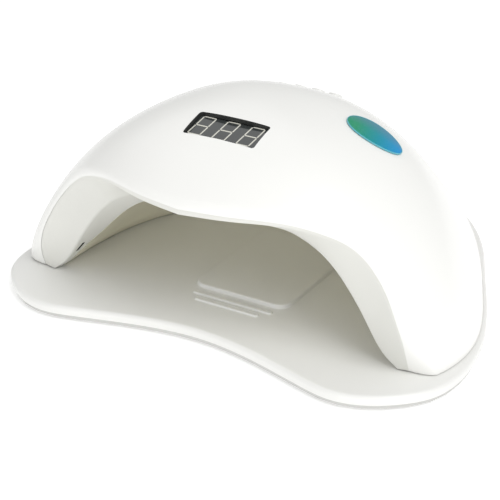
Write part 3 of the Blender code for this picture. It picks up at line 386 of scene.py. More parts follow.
@dataclass(frozen=True)
class SmokedPanel(Finish):
    """A dark tinted window with a faint woven filter behind it."""

    shade: Colour = (0.05, 0.055, 0.055)

    def paint(self) -> None:
        """Fine mesh tint under a clear glossy face."""
        graph, shader = self.start()
        place = graph.node("ShaderNodeTexCoord").outputs["Object"]
        weave = graph.node("ShaderNodeTexChecker")
        graph.feed(weave.inputs["Vector"], place)
        weave.inputs["Scale"].default_value = 2600.0
        drift = graph.spread(graph.noise(place, 60.0), 0.0, 0.5)
        share = graph.sum(graph.sum(weave.outputs["Fac"], 0.35, "MULTIPLY"), drift)
        graph.feed(shader.inputs["Base Color"],
                   graph.blend(share, (*self.colour, 1.0), (*self.shade, 1.0)))
        marks = graph.group(EFFECTS.get(Effect.HANDLING_MARKS), Roughness=0.12, Smear=0.10,
                            Rubs=0.08)
        graph.feed(shader.inputs["Roughness"], marks.outputs["Roughness"])
        shader.inputs["Coat Weight"].default_value = 0.4
        shader.inputs["Coat Roughness"].default_value = 0.05


@dataclass(frozen=True)
class ClearLens(Finish):
    """Clear silicone over a light emitter."""

    def paint(self) -> None:
        """Mostly transmitting, with faint flow marks."""
        graph, shader = self.start()
        skin = graph.group(EFFECTS.get(Effect.MOULDED_GRAIN), Base=(*self.colour, 1.0),
                           Shade=(0.80, 0.84, 0.95, 1.0), Roughness=0.04, Grain_Scale=700.0)
        graph.feed(shader.inputs["Base Color"], skin.outputs["Colour"])
        graph.feed(shader.inputs["Roughness"], skin.outputs["Roughness"])
        shader.inputs["Transmission Weight"].default_value = 0.9
        shader.inputs["IOR"].default_value = 1.41


@dataclass(frozen=True)
class BadgePrint(Finish):
    """A colour fade across the badge, from green through teal to blue."""

    centre: tuple[float, float, float] = (0.0, 0.0, 0.0)
    along: tuple[float, float, float] = (1.0, 0.0, 0.0)
    across: tuple[float, float, float] = (0.0, 1.0, 0.0)
    blue: Colour = (0.0, 0.27, 0.62)
    teal: Colour = (0.0, 0.27, 0.31)
    slate: Colour = (0.09, 0.23, 0.33)

    def paint(self) -> None:
        """Fade along the badge, greyer towards its upper edge, with printed dots."""
        graph, shader = self.start()
        place = graph.node("ShaderNodeTexCoord").outputs["Object"]
        offset = graph.node("ShaderNodeVectorMath", operation="SUBTRACT")
        graph.feed(offset.inputs[0], place)
        offset.inputs[1].default_value = self.centre
        shares = []
        for direction in (self.along, self.across):
            dot = graph.node("ShaderNodeVectorMath", operation="DOT_PRODUCT")
            graph.feed(dot.inputs[0], offset.outputs[0])
            dot.inputs[1].default_value = direction
            shares.append(dot.outputs["Value"])
        fade = graph.ramp(graph.spread(shares[0], 0.0, 1.0, -1.0, 1.0),
                          ((0.0, self.colour), (1.0, self.blue), (0.2, self.colour),
                           (0.52, self.teal)))
        edge = graph.spread(shares[1], 0.0, 0.85, -0.1, 0.95)
        printed = graph.blend(edge, fade, (*self.slate, 1.0))
        dots = graph.spread(graph.noise(place, 2400.0, 1.0), 0.0, 0.05)
        graph.feed(shader.inputs["Base Color"], graph.blend(dots, printed, (0.8, 0.95, 1.0, 1.0)))
        marks = graph.group(EFFECTS.get(Effect.HANDLING_MARKS), Roughness=0.30, Smear=0.08)
        graph.feed(shader.inputs["Roughness"], marks.outputs["Roughness"])
        shader.inputs["Specular IOR Level"].default_value = 0.06


@dataclass(frozen=True)
class Backdrop(Finish):
    """The pale floor."""

    glow: float = 0.0

    def paint(self) -> None:
        """An even matt sweep with the slightest mottling."""
        graph, shader = self.start()
        place = graph.node("ShaderNodeTexCoord").outputs["Object"]
        share = graph.spread(graph.noise(place, 3.0), 0.0, 1.0)
        graph.feed(shader.inputs["Base Color"],
                   graph.blend(share, (*self.colour, 1.0), (0.93, 0.93, 0.93, 1.0)))
        shader.inputs["Roughness"].default_value = 0.9
        shader.inputs["Specular IOR Level"].default_value = 0.1
        shader.inputs["Emission Color"].default_value = (1.0, 1.0, 1.0, 1.0)
        shader.inputs["Emission Strength"].default_value = self.glow


COVER_GLOSS = MouldedPlastic("cover_gloss", (0.88, 0.88, 0.86), (0.86, 0.86, 0.835), 0.20, 0.35, 0.04)
BEZEL_SATIN = MouldedPlastic("bezel_satin", (0.76, 0.76, 0.72), (0.73, 0.73, 0.69), 0.42, 0.0, 0.12)
LINER_SATIN = MouldedPlastic("liner_satin", (0.90, 0.87, 0.72), (0.87, 0.84, 0.69), 0.45, 0.0, 0.10)
PLATE_SATIN = MouldedPlastic("plate_satin", (0.86, 0.86, 0.84), (0.835, 0.835, 0.81), 0.38, 0.10, 0.10)
TRAY_MATT = MouldedPlastic("tray_matt", (0.62, 0.62, 0.60), (0.58, 0.58, 0.56), 0.6, 0.0, 0.25)
FRAME_MATT = MouldedPlastic("frame_matt", (0.62, 0.61, 0.53), (0.57, 0.56, 0.49), 0.55, 0.0, 0.25)
BUTTON_SATIN = MouldedPlastic("button_satin", (0.87, 0.87, 0.85), (0.84, 0.84, 0.82), 0.30, 0.1, 0.08)
# Near-black painted shade for the cut walls of the window recess and of the infrared slots.
RECESS_PAINTED_SHADE = MouldedPlastic("recess_painted_shade", (0.045, 0.048, 0.046), (0.03, 0.032, 0.031), 0.4, 0.0, 0.2)
JACK_BLACK = MouldedPlastic("jack_black", (0.022, 0.022, 0.024), (0.03, 0.03, 0.032), 0.42, 0.0, 0.3)
MODULE_BLACK = MouldedPlastic("module_black", (0.03, 0.03, 0.032), (0.022, 0.022, 0.024), 0.5, 0.0, 0.3)
SWITCH_BLACK = MouldedPlastic("switch_black", (0.035, 0.035, 0.037), (0.05, 0.05, 0.05), 0.35, 0.0, 0.2)
FOOT_RUBBER = MouldedPlastic("foot_rubber", (0.10, 0.10, 0.10), (0.14, 0.14, 0.135), 0.85, 0.0, 0.6,
                             900.0, 0.1)
WIRE_WHITE = MouldedPlastic("wire_white", (0.68, 0.68, 0.65), (0.60, 0.60, 0.57), 0.5, 0.0, 0.2)
SEGMENT_WHITE = MouldedPlastic("segment_white", (0.74, 0.735, 0.66), (0.70, 0.69, 0.61), 0.4, 0.2)
RIM_CYAN = MouldedPlastic("rim_cyan", (0.12, 0.46, 0.54), (0.10, 0.42, 0.52), 0.3, 0.1)
DIE_GOLD = MouldedPlastic("die_gold", (0.75, 0.55, 0.12), (0.6, 0.42, 0.08), 0.35, 0.0)
BRIGHT_STEEL = Metal("bright_steel", (0.58, 0.58, 0.59))
NICKEL = Metal("nickel_plate", (0.74, 0.73, 0.71), (0.5, 0.48, 0.44), 0.2)
GREEN_BOARD = CircuitBoard("green_board", (0.012, 0.16, 0.06))
WHITE_BOARD = CircuitBoard("white_board", (0.80, 0.80, 0.78), (0.70, 0.70, 0.67))
SMOKED = SmokedPanel("smoked_window", (0.034, 0.040, 0.040))
LENS = ClearLens("emitter_lens", (0.90, 0.92, 0.97))
FLOOR = Backdrop("pale_floor", (0.95, 0.95, 0.95), 0.32)


# ---- curves and meshes ---------------------------------------------------------------------
class Spline:
    """A natural cubic spline through rows of values."""

    def __init__(self, knots: Sequence[float], values: Sequence[Sequence[float]]) -> None:
        """Work out the spline's bends from its knots and values."""
        self.knots = np.asarray(knots, float)
        self.values = np.asarray(values, float).reshape(len(self.knots), -1)
        self.step = np.diff(self.knots)
        count = len(self.knots)
        matrix = np.eye(count)
        right = np.zeros_like(self.values)
        slopes = np.diff(self.values, axis=0) / self.step[:, None]
        for i in range(1, count - 1):
            matrix[i, i - 1:i + 2] = (self.step[i - 1], 2 * (self.step[i - 1] + self.step[i]),
                                      self.step[i])
            right[i] = 6 * (slopes[i] - slopes[i - 1])
        self.bend = np.linalg.solve(matrix, right)

    @classmethod
    def through(cls, points: Sequence[Sequence[float]]) -> "Spline":
        """Return a spline through the points over 0 to 1 of their length."""
        rows = np.asarray(points, float)
        steps = np.linalg.norm(np.diff(rows, axis=0), axis=1)
        length = np.concatenate(([0.0], np.cumsum(steps)))
        return cls(length / length[-1], rows)

    @classmethod
    def mirrored(cls, half: Sequence[Sequence[float]]) -> "Spline":
        """Return a spline through a half outline and its mirror image."""
        left = [(-point[0], *point[1:]) for point in reversed(half[:-1])]
        return cls.through([*half, *left])

    def at(self, where: object) -> np.ndarray:
        """Return the values at one place or at an array of places."""
        t = np.clip(np.asarray(where, float), self.knots[0], self.knots[-1])
        i = np.clip(np.searchsorted(self.knots, t) - 1, 0, len(self.knots) - 2)
        step = self.step[i][..., None]
        low = (self.knots[i + 1] - t)[..., None] / step
        high = (t - self.knots[i])[..., None] / step
        bend = (low ** 3 - low) * self.bend[i] + (high ** 3 - high) * self.bend[i + 1]
        return low * self.values[i] + high * self.values[i + 1] + bend * step ** 2 / 6


def sheet_faces(rows: int, columns: int, start: int = 0, closed: bool = False) -> list[tuple]:
    """Return the quads of a grid of points.

    Args:
        rows: Number of rows of points.
        columns: Number of points in each row.
        start: Index of the grid's first point.
        closed: Whether the last point of a row joins the first.

    Returns:
        One tuple of four indices for each quad.
    """
    faces = []
    width = columns if closed else columns - 1
    for r in range(rows - 1):
        for c in range(width):
            after = (c + 1) % columns
            low = start + r * columns
            high = low + columns
            faces.append((low + c, low + after, high + after, high + c))
    return faces


def finish_mesh(name: str, points: np.ndarray, faces: Sequence[Sequence[int]],
                crease: float = 35.0) -> bpy.types.Mesh:
    """Make a smooth-shaded mesh with outward faces.

    Args:
        name: Name of the mesh.
        points: Array of points.
        faces: Indices of each face.
        crease: Angle in degrees above which an edge stays sharp.

    Returns:
        The mesh.
    """
    mesh = bpy.data.meshes.new(name)
    mesh.from_pydata(np.asarray(points).reshape(-1, 3).tolist(), [], list(faces))
    bm = bmesh.new()
    bm.from_mesh(mesh)
    bmesh.ops.remove_doubles(bm, verts=bm.verts, dist=1e-6)
    bmesh.ops.recalc_face_normals(bm, faces=bm.faces)
    bm.to_mesh(mesh)
    bm.free()
    mesh.shade_smooth()
    mesh.set_sharp_from_angle(angle=radians(crease))
    return mesh


def closed_shell(name: str, outer: np.ndarray, inner: np.ndarray) -> bpy.types.Mesh:
    """Return one closed body between two grids of points of the same size."""
    rows, columns = outer.shape[:2]
    count = rows * columns
    faces = sheet_faces(rows, columns) + sheet_faces(rows, columns, count)
    for c in range(columns - 1):
        faces.append((c, c + 1, count + c + 1, count + c))
    for side in (0, columns - 1):
        for r in range(rows - 1):
            low = r * columns + side
            faces.append((low, low + columns, count + low + columns, count + low))
    return finish_mesh(name, np.concatenate((outer.reshape(-1, 3), inner.reshape(-1, 3))), faces)


def turned(name: str, profile: Sequence[Point], segments: int = 48) -> bpy.types.Mesh:
    """Return a solid turned about Z from (radius, z) points that start and end on the axis."""
    angles = np.arange(segments) * 2 * pi / segments
    rows = [np.stack((r * np.cos(angles), r * np.sin(angles), np.full(segments, z)), axis=-1)
            for r, z in profile]
    faces = sheet_faces(len(rows), segments, closed=True)
    return finish_mesh(name, np.array(rows), faces)


def rounded_rectangle(width: float, depth: float, corner: float, steps: int = 8) -> np.ndarray:
    """Return the outline of a rectangle with round corners, anticlockwise."""
    points = []
    for index, (sx, sy) in enumerate(((1, 1), (-1, 1), (-1, -1), (1, -1))):
        for step in range(steps + 1):
            angle = (index + step / steps) * pi / 2
            points.append((sx * (width / 2 - corner) + corner * cos(angle),
                           sy * (depth / 2 - corner) + corner * sin(angle)))
    return np.array(points)


def grown(outline: np.ndarray, amount: float) -> np.ndarray:
    """Return an anticlockwise closed outline moved outwards by an amount."""
    along = np.roll(outline, -1, axis=0) - np.roll(outline, 1, axis=0)
    along /= np.linalg.norm(along, axis=1)[:, None]
    return outline + np.stack((along[:, 1], -along[:, 0]), axis=-1) * amount


def slab(name: str, outline: np.ndarray, levels: Sequence[Point]) -> bpy.types.Mesh:
    """Return a slab from an outline.

    Args:
        name: Name of the mesh.
        outline: Closed anticlockwise outline.
        levels: (growth of the outline, z) of each row from the bottom to the top.

    Returns:
        The closed mesh.
    """
    rows = []
    for growth, z in levels:
        ring = grown(outline, growth)
        rows.append(np.column_stack((ring, np.full(len(ring), z))))
    count = len(outline)
    faces = sheet_faces(len(rows), count, closed=True)
    faces.append(tuple(range(count)))
    faces.append(tuple(range((len(rows) - 1) * count, len(rows) * count)))
    return finish_mesh(name, np.array(rows), faces)


def round_over(low: float, high: float, radius: float, steps: int = 5,
               both: bool = True) -> list[Point]:
    """Return (growth, z) rows of a slab's edge from low to high, rounded at the top or at both ends."""
    rows: list[Point] = []
    quarter = [i / steps * pi / 2 for i in range(steps + 1)]
    if both:
        rows += [(-radius * (1 - sin(a)), low + radius * (1 - cos(a))) for a in quarter]
    else:
        rows.append((0.0, low))
    rows += [(-radius * (1 - cos(a)), high - radius * (1 - sin(a))) for a in quarter]
    rows.append((-radius * 1.4, high))
    return rows


def add_piece(name: str, mesh: bpy.types.Mesh, finish: Finish, body: str, *nodes: str,
              place: Optional[Matrix] = None, slot: str = "") -> bpy.types.Object:
    """Show a mesh as a piece of the lamp.

    Args:
        name: Name of the piece.
        mesh: Its mesh.
        finish: Its finish.
        body: CAD body that it moves with.
        *nodes: CAD nodes that it stands for.
        place: Where it goes, if its mesh isn't already in place.
        slot: Material slot of the record that its finish belongs to; not used.

    Returns:
        The object.
    """
    piece = bpy.data.objects.new(name, mesh)
    bpy.context.scene.collection.objects.link(piece)
    if place is not None:
        mesh.transform(place)
    if not mesh.materials:
        mesh.materials.append(finish.material())
    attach(piece, body)
    if nodes:
        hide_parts(*nodes)
    LOG.info("piece %s: %d faces on body %s", name, len(mesh.polygons), body)
    return piece


def carve(mesh: bpy.types.Mesh, cutters: Sequence[bpy.types.Mesh], crease: float = 35.0,
          wall: float = 0.0) -> bpy.types.Mesh:
    """Cut the cutters out of a mesh, keeping the cutters' finishes on the cut faces.

    Args:
        mesh: The body, or a sheet that gets a wall behind it.
        cutters: Closed meshes with finishes.
        crease: Angle in degrees above which an edge stays sharp.
        wall: Thickness that a sheet gets first, or 0 for a body.

    Returns:
        The cut mesh.
    """
    scene = bpy.context.scene.collection
    body = bpy.data.objects.new("carved", mesh)
    scene.objects.link(body)
    group = bpy.data.collections.new("carving")
    scene.children.link(group)
    tools = [bpy.data.objects.new("tool", cutter) for cutter in cutters]
    for tool in tools:
        group.objects.link(tool)
    if wall > 0.0:
        solid = body.modifiers.new("wall", "SOLIDIFY")
        solid.thickness = wall
        solid.offset = -1.0
    boolean = body.modifiers.new("cut", "BOOLEAN")
    boolean.operation = "DIFFERENCE"
    boolean.solver = "EXACT"
    boolean.operand_type = "COLLECTION"
    boolean.collection = group
    boolean.material_mode = "TRANSFER"
    depsgraph = bpy.context.evaluated_depsgraph_get()
    made = bpy.data.meshes.new_from_object(body.evaluated_get(depsgraph))
    for item in (body, *tools):
        bpy.data.objects.remove(item)
    bpy.data.collections.remove(group)
    made.shade_smooth()
    made.set_sharp_from_angle(angle=radians(crease))
    return made


def joined(name: str, meshes: Sequence[bpy.types.Mesh], crease: float = 35.0) -> bpy.types.Mesh:
    """Return one mesh that holds the shapes of several."""
    bm = bmesh.new()
    for mesh in meshes:
        bm.from_mesh(mesh)
        bpy.data.meshes.remove(mesh)
    made = bpy.data.meshes.new(name)
    bm.to_mesh(made)
    bm.free()
    made.shade_smooth()
    made.set_sharp_from_angle(angle=radians(crease))
    return made


# ---- the lamp's forms ----------------------------------------------------------------------
@dataclass
class DomeForm:
    """The dome's surface: an arch of changing width and height, swept from front to back."""

    rim_z: float
    front_y: float = -0.1025
    back_y: float = 0.0995
    side_power: float = 2.37
    crown_power: float = 1.38
    lip_depth: float = 0.0034
    lip_turn: float = 0.0028
    lip_turn_foot: float = 0.0095
    lip_rows: int = 9
    inner_lip: float = 0.5
    stations: tuple = ((-0.1025, 0.0839, 0.0621), (-0.0670, 0.1045, 0.0828),
                       (-0.0315, 0.1081, 0.0900), (0.0035, 0.1005, 0.0877),
                       (0.0215, 0.0967, 0.0780), (0.0395, 0.0938, 0.0655),
                       (0.0575, 0.0911, 0.0545), (0.0995, 0.0840, 0.0420))
    front_edge: tuple = ((0.0, -0.0714), (7.0, -0.0731), (13.0, -0.0748), (20.0, -0.0761),
                         (27.0, -0.0764), (34.0, -0.0754), (42.0, -0.0748), (50.0, -0.0764),
                         (57.0, -0.0811), (65.0, -0.0871), (73.0, -0.0929), (81.0, -0.0970),
                         (90.0, -0.0993))

    def __post_init__(self) -> None:
        """Make the splines."""
        self.sizes = Spline([s[0] for s in self.stations], [s[1:] for s in self.stations])
        self.edge = Spline([e[0] for e in self.front_edge], [e[1] for e in self.front_edge])

    def start(self, angles: np.ndarray) -> np.ndarray:
        """Return how far forward the dome reaches at each arch angle."""
        degrees = np.degrees(angles)
        return self.edge.at(np.minimum(degrees, 180 - degrees))[..., 0]

    def turn(self, angles: np.ndarray) -> np.ndarray:
        """Return how far the front lip turns inwards at each arch angle."""
        return self.lip_turn + (self.lip_turn_foot - self.lip_turn) * np.cos(angles) ** 22

    def scaled(self, y: np.ndarray, inset: object) -> tuple[np.ndarray, np.ndarray]:
        """Return half width and crown height at each y."""
        back = self.back_y - inset
        along = np.clip((y - self.front_y) / (back - self.front_y), 0.0, 1.0)
        tail = np.sqrt(np.clip(1 - along ** 3, 0.0, None))
        sizes = self.sizes.at(y)
        return (sizes[..., 0] - inset) * tail, (sizes[..., 1] - inset) * tail

    def point(self, y: np.ndarray, angles: np.ndarray, inset: object = 0.0) -> np.ndarray:
        """Return points of the surface, or of one inset below it."""
        width, crown = self.scaled(np.asarray(y, float), inset)
        across = np.sign(np.cos(angles)) * np.abs(np.cos(angles)) ** (2 / self.side_power)
        up = np.abs(np.sin(angles)) ** (2 / self.crown_power)
        parts = np.broadcast_arrays(width * across, y, self.rim_z + crown * up)
        return np.stack(parts, axis=-1)

    def height(self, x: float, y: float, inset: float = 0.0) -> float:
        """Return the surface's height over a point of the table."""
        width, crown = self.scaled(np.asarray(y, float), inset)
        share = min(abs(x) / float(width), 1.0)
        return self.rim_z + float(crown) * (1 - share ** self.side_power) ** (1 / self.crown_power)

    def normal(self, x: float, y: float, step: float = 0.0005) -> Vector:
        """Return the surface's outward direction over a point of the table."""
        slope_x = (self.height(x + step, y) - self.height(x - step, y)) / (2 * step)
        slope_y = (self.height(x, y + step) - self.height(x, y - step)) / (2 * step)
        return Vector((-slope_x, -slope_y, 1.0)).normalized()

    def frame_at(self, x: float, y: float) -> Matrix:
        """Return a frame on the surface: Z outwards, X level to the right."""
        normal = self.normal(x, y)
        level = Vector((0, 1, 0)).cross(normal).normalized()
        place = Matrix((level, normal.cross(level), normal)).transposed().to_4x4()
        place.translation = (x, y, self.height(x, y))
        return place

    def rows(self, angles: np.ndarray, inset: float, count: int) -> np.ndarray:
        """Return the surface's rows of points from the rounded front lip to the tail.

        Args:
            angles: Arch angles of the points in a row.
            inset: Depth below the outer surface.
            count: Number of rows behind the lip.

        Returns:
            An array of rows of points.
        """
        start, turn = self.start(angles), self.turn(angles)
        made = []
        inner = inset > 0.0
        squeeze = self.inner_lip if inner else 1.0
        for t in np.linspace(0.0, pi / 2, self.lip_rows):
            depth = turn * (1 - sin(t))
            if inner:
                depth = np.maximum(depth, inset)
            back = self.lip_depth * (1 - cos(t)) * squeeze
            made.append(self.point(start + inset + back, angles, depth))
        first = start + inset + self.lip_depth * squeeze
        for i in range(1, count + 1):
            share = 1 - (1 - i / count) ** 2
            y = first + (self.back_y - inset - first) * share
            made.append(self.point(y, angles, inset))
        return np.array(made)


@dataclass
class CavityForm:
    """The opening in the front, its return and the arched cavity behind it."""

    rim_z: float
    opening_y: float = -0.0725
    seam: float = 0.0012
    back_y: float = 0.0450
    rise: float = 0.22
    opening_half: tuple = ((0.0900, -0.004), (0.0872, 0.0), (0.0832, 0.0030), (0.0796, 0.0066),
                           (0.0721, 0.0184), (0.0638, 0.0307), (0.0535, 0.0416),
                           (0.0368, 0.0495), (0.018, 0.0517), (0.0, 0.0520))
    throat_half: tuple = ((0.0885, 0.0038, -0.004), (0.0858, 0.0040, 0.0),
                          (0.0818, 0.0050, 0.0034), (0.0780, 0.0068, 0.0080),
                          (0.0695, 0.0108, 0.0172), (0.0598, 0.0120, 0.0275),
                          (0.0488, 0.0120, 0.0367), (0.0330, 0.0120, 0.0437),
                          (0.016, 0.0120, 0.0457), (0.0, 0.0120, 0.0460))

    def __post_init__(self) -> None:
        """Make the splines and find where they cross the rim's level."""
        self.opening = Spline.mirrored(self.opening_half)
        self.throat = Spline.mirrored(self.throat_half)
        self.opening_foot = self.foot(self.opening)
        self.throat_foot = self.foot(self.throat)

    @staticmethod
    def foot(outline: Spline) -> float:
        """Return the share along an outline where it crosses the rim's level."""
        shares = np.linspace(0.0, 0.25, 2000)
        return float(np.interp(0.0, outline.at(shares)[:, -1], shares))

    @staticmethod
    def spaced(shares: np.ndarray, foot: float) -> np.ndarray:
        """Return shares along an outline that face equal steps of the arch angle."""
        eased = 0.5 - 0.5 * np.cos(pi * shares) * (1 - 0.12 * np.sin(pi * shares) ** 2)
        return foot + (1 - 2 * foot) * eased

    def mouth(self, shares: np.ndarray) -> np.ndarray:
        """Return points of the opening's edge."""
        found = self.opening.at(self.spaced(shares, self.opening_foot))
        depth = np.full(len(shares), self.opening_y)
        return np.stack((found[:, 0], depth, self.rim_z + found[:, 1]), axis=-1)

    def rear(self, shares: np.ndarray) -> np.ndarray:
        """Return points of the return's rear edge."""
        found = self.throat.at(self.spaced(shares, self.throat_foot))
        return np.stack((found[:, 0], self.opening_y + found[:, 1], self.rim_z + found[:, 2]),
                        axis=-1)

    def wall(self, along: float, shares: np.ndarray, outset: float = 0.0) -> np.ndarray:
        """Return points of the cavity's wall at one distance from throat (0) to back (1)."""
        foot = self.throat_foot
        found = self.throat.at(foot + (1 - 2 * foot) * shares)
        front = self.opening_y + found[:, 1] + self.seam
        tail = np.sqrt(max(1 - along ** 3, 0.0))
        lift = 1 + self.rise * sin(pi * along)
        half, top = self.throat_half[0][0], self.throat_half[-1][2]
        x = found[:, 0] * (half + outset) / half * tail
        z = np.maximum(found[:, 2], 0.0) * lift * tail * (top + outset) / top
        y = front + (self.back_y + outset - front) * along
        return np.stack((x, y, self.rim_z + z), axis=-1)

    def ceiling(self, x: float, y: float) -> float:
        """Return the height of the cavity's ceiling over a point of the table."""
        depth = self.throat_half[-1][1]
        front = self.opening_y + depth + self.seam
        along = (y - front) / (self.back_y - front)
        points = self.wall(along, np.linspace(0.2, 0.5, 60))
        return float(np.interp(abs(x), points[::-1, 0], points[::-1, 2]))


# ---- lamp head -----------------------------------------------------------------------------
@dataclass
class DisplayWindow:
    """The recessed window with three seven-segment digits."""

    dome: DomeForm
    y: float = -0.0622
    width: float = 0.0346
    depth: float = 0.0153
    corner: float = 0.0012
    gap: float = 0.0003
    recess: float = 0.0028
    thickness: float = 0.0018
    bevel: float = 0.00018
    cut: tuple = (-0.009, 0.006)
    segment_low: float = -0.0001
    segment_high: float = 0.00007
    segment_bevel: float = 0.00003
    trim_share: float = 0.35
    digit_width: float = 0.0066
    digit_height: float = 0.0128
    digit_pitch: float = 0.0119
    digit_shift: Point = (-0.0011, 0.00085)
    slant: float = 0.11
    stroke: float = 0.00062

    def place(self) -> Matrix:
        """Return the window's frame on the dome."""
        return self.dome.frame_at(0.0, self.y)

    def cutter(self) -> bpy.types.Mesh:
        """Return the hole that the window needs; its walls are painted near-black as shade in the
        recess.
        """
        outline = rounded_rectangle(self.width, self.depth, self.corner)
        mesh = slab("window_hole", outline, [(0.0, z) for z in self.cut])
        mesh.transform(self.place())
        # Painted shade: the hole's walls get the near-black finish.
        mesh.materials.append(RECESS_PAINTED_SHADE.material())
        return mesh

    def panel(self) -> bpy.types.Object:
        """Build the smoked panel."""
        outline = rounded_rectangle(self.width - 2 * self.gap, self.depth - 2 * self.gap,
                                    self.corner - self.gap)
        levels = round_over(-self.recess - self.thickness, -self.recess, self.bevel, 4)
        return add_piece("window_panel", slab("window_panel", outline, levels), SMOKED, "head",
                         "display_window", place=self.place(), slot="window_smoke")

    def stroke_outline(self, middle: Point, length: float, upright: bool) -> np.ndarray:
        """Return the six corners of one segment with pointed ends."""
        half, tip = self.stroke / 2, length / 2
        flat = np.array(((tip - half, -half), (tip, 0.0), (tip - half, half),
                         (-tip + half, half), (-tip, 0.0), (-tip + half, -half)))
        if upright:
            flat = np.stack((-flat[:, 1], flat[:, 0]), axis=-1)
        flat = flat + np.array(middle)
        return flat + np.stack((flat[:, 1] * self.slant, 0 * flat[:, 1]), axis=-1)

    def digits(self) -> bpy.types.Object:
        """Build the segments of all three digits."""
        across, up = self.digit_width - self.stroke, self.digit_height - self.stroke
        trim = self.stroke * self.trim_share
        top = -self.recess + self.segment_high
        levels = ((0.0, -self.recess + self.segment_low), (0.0, top - self.segment_bevel),
                  (-self.segment_bevel, top))
        meshes = []
        for digit in (-1, 0, 1):
            x, y = digit * self.digit_pitch + self.digit_shift[0], self.digit_shift[1]
            strokes = [((x, y + side * up / 2), across - trim, False) for side in (-1, 0, 1)]
            strokes += [((x + side * across / 2, y + level * up / 4), up / 2 - trim, True)
                        for side in (-1, 1) for level in (-1, 1)]
            for middle, length, upright in strokes:
                outline = self.stroke_outline(middle, length, upright)
                meshes.append(slab("segment", outline, levels))
        return add_piece("digit_segments", joined("digit_segments", meshes), SEGMENT_WHITE, "head",
                         place=self.place(), slot="module_black")

    def build(self) -> None:
        """Build the window's pieces."""
        self.panel()
        self.digits()


@dataclass
class TimerButtons:
    """Four round timer buttons in a row behind the window."""

    dome: DomeForm
    labels: tuple = ("10s", "30s", "60s", "99s")
    y: float = 0.0095
    pitch: float = 0.0088
    radius: float = 0.0033
    proud: float = 0.0012
    running_gap: float = 0.00035
    flange_radius: float = 0.0040
    stem_radius: float = 0.0010
    cut: tuple = (-0.007, 0.006)
    edge: float = 0.0006
    dish: tuple = ((0.62, 0.00004), (0.5, 0.00022), (0.0, 0.00026))

    def spots(self) -> list[tuple[str, Matrix, float]]:
        """Return each button's label, frame and height of the dome's surface in that frame."""
        place = self.dome.frame_at(0.0, self.y)
        found = []
        for i, label in enumerate(self.labels):
            x = (i - (len(self.labels) - 1) / 2) * self.pitch
            point = place @ Vector((x, 0, 0))
            over = Vector((point.x, point.y, self.dome.height(point.x, point.y)))
            found.append((label, place @ Matrix.Translation((x, 0, 0)),
                          (place.inverted() @ over).z))
        return found

    def cutters(self) -> list[bpy.types.Mesh]:
        """Return the holes that the buttons need."""
        made = []
        radius = self.radius + self.running_gap
        for _, place, _ in self.spots():
            low, high = self.cut
            profile = ((0.0, low), (radius, low), (radius, high), (0.0, high))
            mesh = turned("button_hole", profile, 40)
            mesh.transform(place)
            mesh.materials.append(COVER_GLOSS.material())
            made.append(mesh)
        return made

    def inner_levels(self, label: str, place: Matrix) -> tuple[float, float, float]:
        """Return heights of the stem's end and of the flange's lower and upper faces."""
        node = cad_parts["button_" + label]
        local = place.inverted() @ node.matrix_world
        points = [local @ vertex.co for vertex in node.data.vertices]
        flange = [p.z for p in points if p.xy.length > self.radius * 1.08]
        return min(p.z for p in points), min(flange), max(flange)

    def build(self) -> None:
        """Build the four caps with their flanges and stems."""
        for label, place, surface in self.spots():
            end, lower, upper = self.inner_levels(label, place)
            top = surface + self.proud
            rounding = [(self.radius - self.edge * (1 - cos(a)), top - self.edge * (1 - sin(a)))
                        for a in np.linspace(0.0, pi / 2, 6)]
            profile = [(0.0, end), (self.stem_radius, end), (self.stem_radius, lower),
                       (self.flange_radius, lower), (self.flange_radius, upper),
                       (self.radius, upper), *rounding,
                       *[(self.radius * share, top - depth) for share, depth in self.dish]]
            name = "button_cap_" + label
            add_piece(name, turned(name, profile, 56), BUTTON_SATIN, "timer_" + label,
                      "button_" + label, place=place, slot="button_white")


@dataclass
class PowerJack:
    """The DC inlet at the rear, in its opening through the dome."""

    margin: float = 0.0012
    corner: float = 0.002
    bore: float = 0.0032
    bore_depth: float = 0.0110
    pin: float = 0.0010
    pin_short: float = 0.0012

    def __post_init__(self) -> None:
        """Read the jack's box."""
        self.low, self.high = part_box("dc_jack")
        self.middle = (self.low + self.high) / 2

    def facing_back(self, z: float) -> Matrix:
        """Return a frame whose Z runs backwards along the jack's axis from y = z."""
        turn = Matrix(((1, 0, 0), (0, 0, 1), (0, -1, 0))).to_4x4()
        return Matrix.Translation((self.middle.x, z, self.middle.z)) @ turn

    def cutter(self) -> bpy.types.Mesh:
        """Return the opening through the dome behind the jack."""
        size = self.high.z - self.low.z + 2 * self.margin
        mesh = slab("jack_opening", rounded_rectangle(size, size, self.corner),
                    ((0.0, 0.0), (0.0, 0.05)))
        mesh.transform(self.facing_back(self.high.y - 0.004))
        mesh.materials.append(COVER_GLOSS.material())
        return mesh

    def build(self) -> None:
        """Build the housing and its centre pin."""
        length = self.high.y - self.low.y
        width = self.high.x - self.low.x
        outline = rounded_rectangle(width, self.high.z - self.low.z, 0.0008)
        body = slab("jack_body", outline, round_over(-length, 0.0, 0.0003, 4))
        body.materials.append(JACK_BLACK.material())
        bore = turned("jack_bore", ((0.0, -self.bore_depth), (self.bore, -self.bore_depth),
                                    (self.bore, -0.0006), (self.bore + 0.0006, 0.0002),
                                    (0.0, 0.0002)), 48)
        bore.materials.append(MODULE_BLACK.material())
        carved = carve(body, (bore,))
        place = self.facing_back(self.high.y)
        add_piece("jack_housing", carved, JACK_BLACK, "head", "dc_jack", place=place,
                  slot="jack_black")
        top = -self.pin_short
        pin = turned("jack_pin", ((0.0, -self.bore_depth), (self.pin, -self.bore_depth),
                                  (self.pin, top - 0.0006), (self.pin * 0.7, top - 0.0002),
                                  (self.pin * 0.3, top), (0.0, top)), 32)
        add_piece("jack_pin", pin, NICKEL, "head", place=place, slot="jack_black")


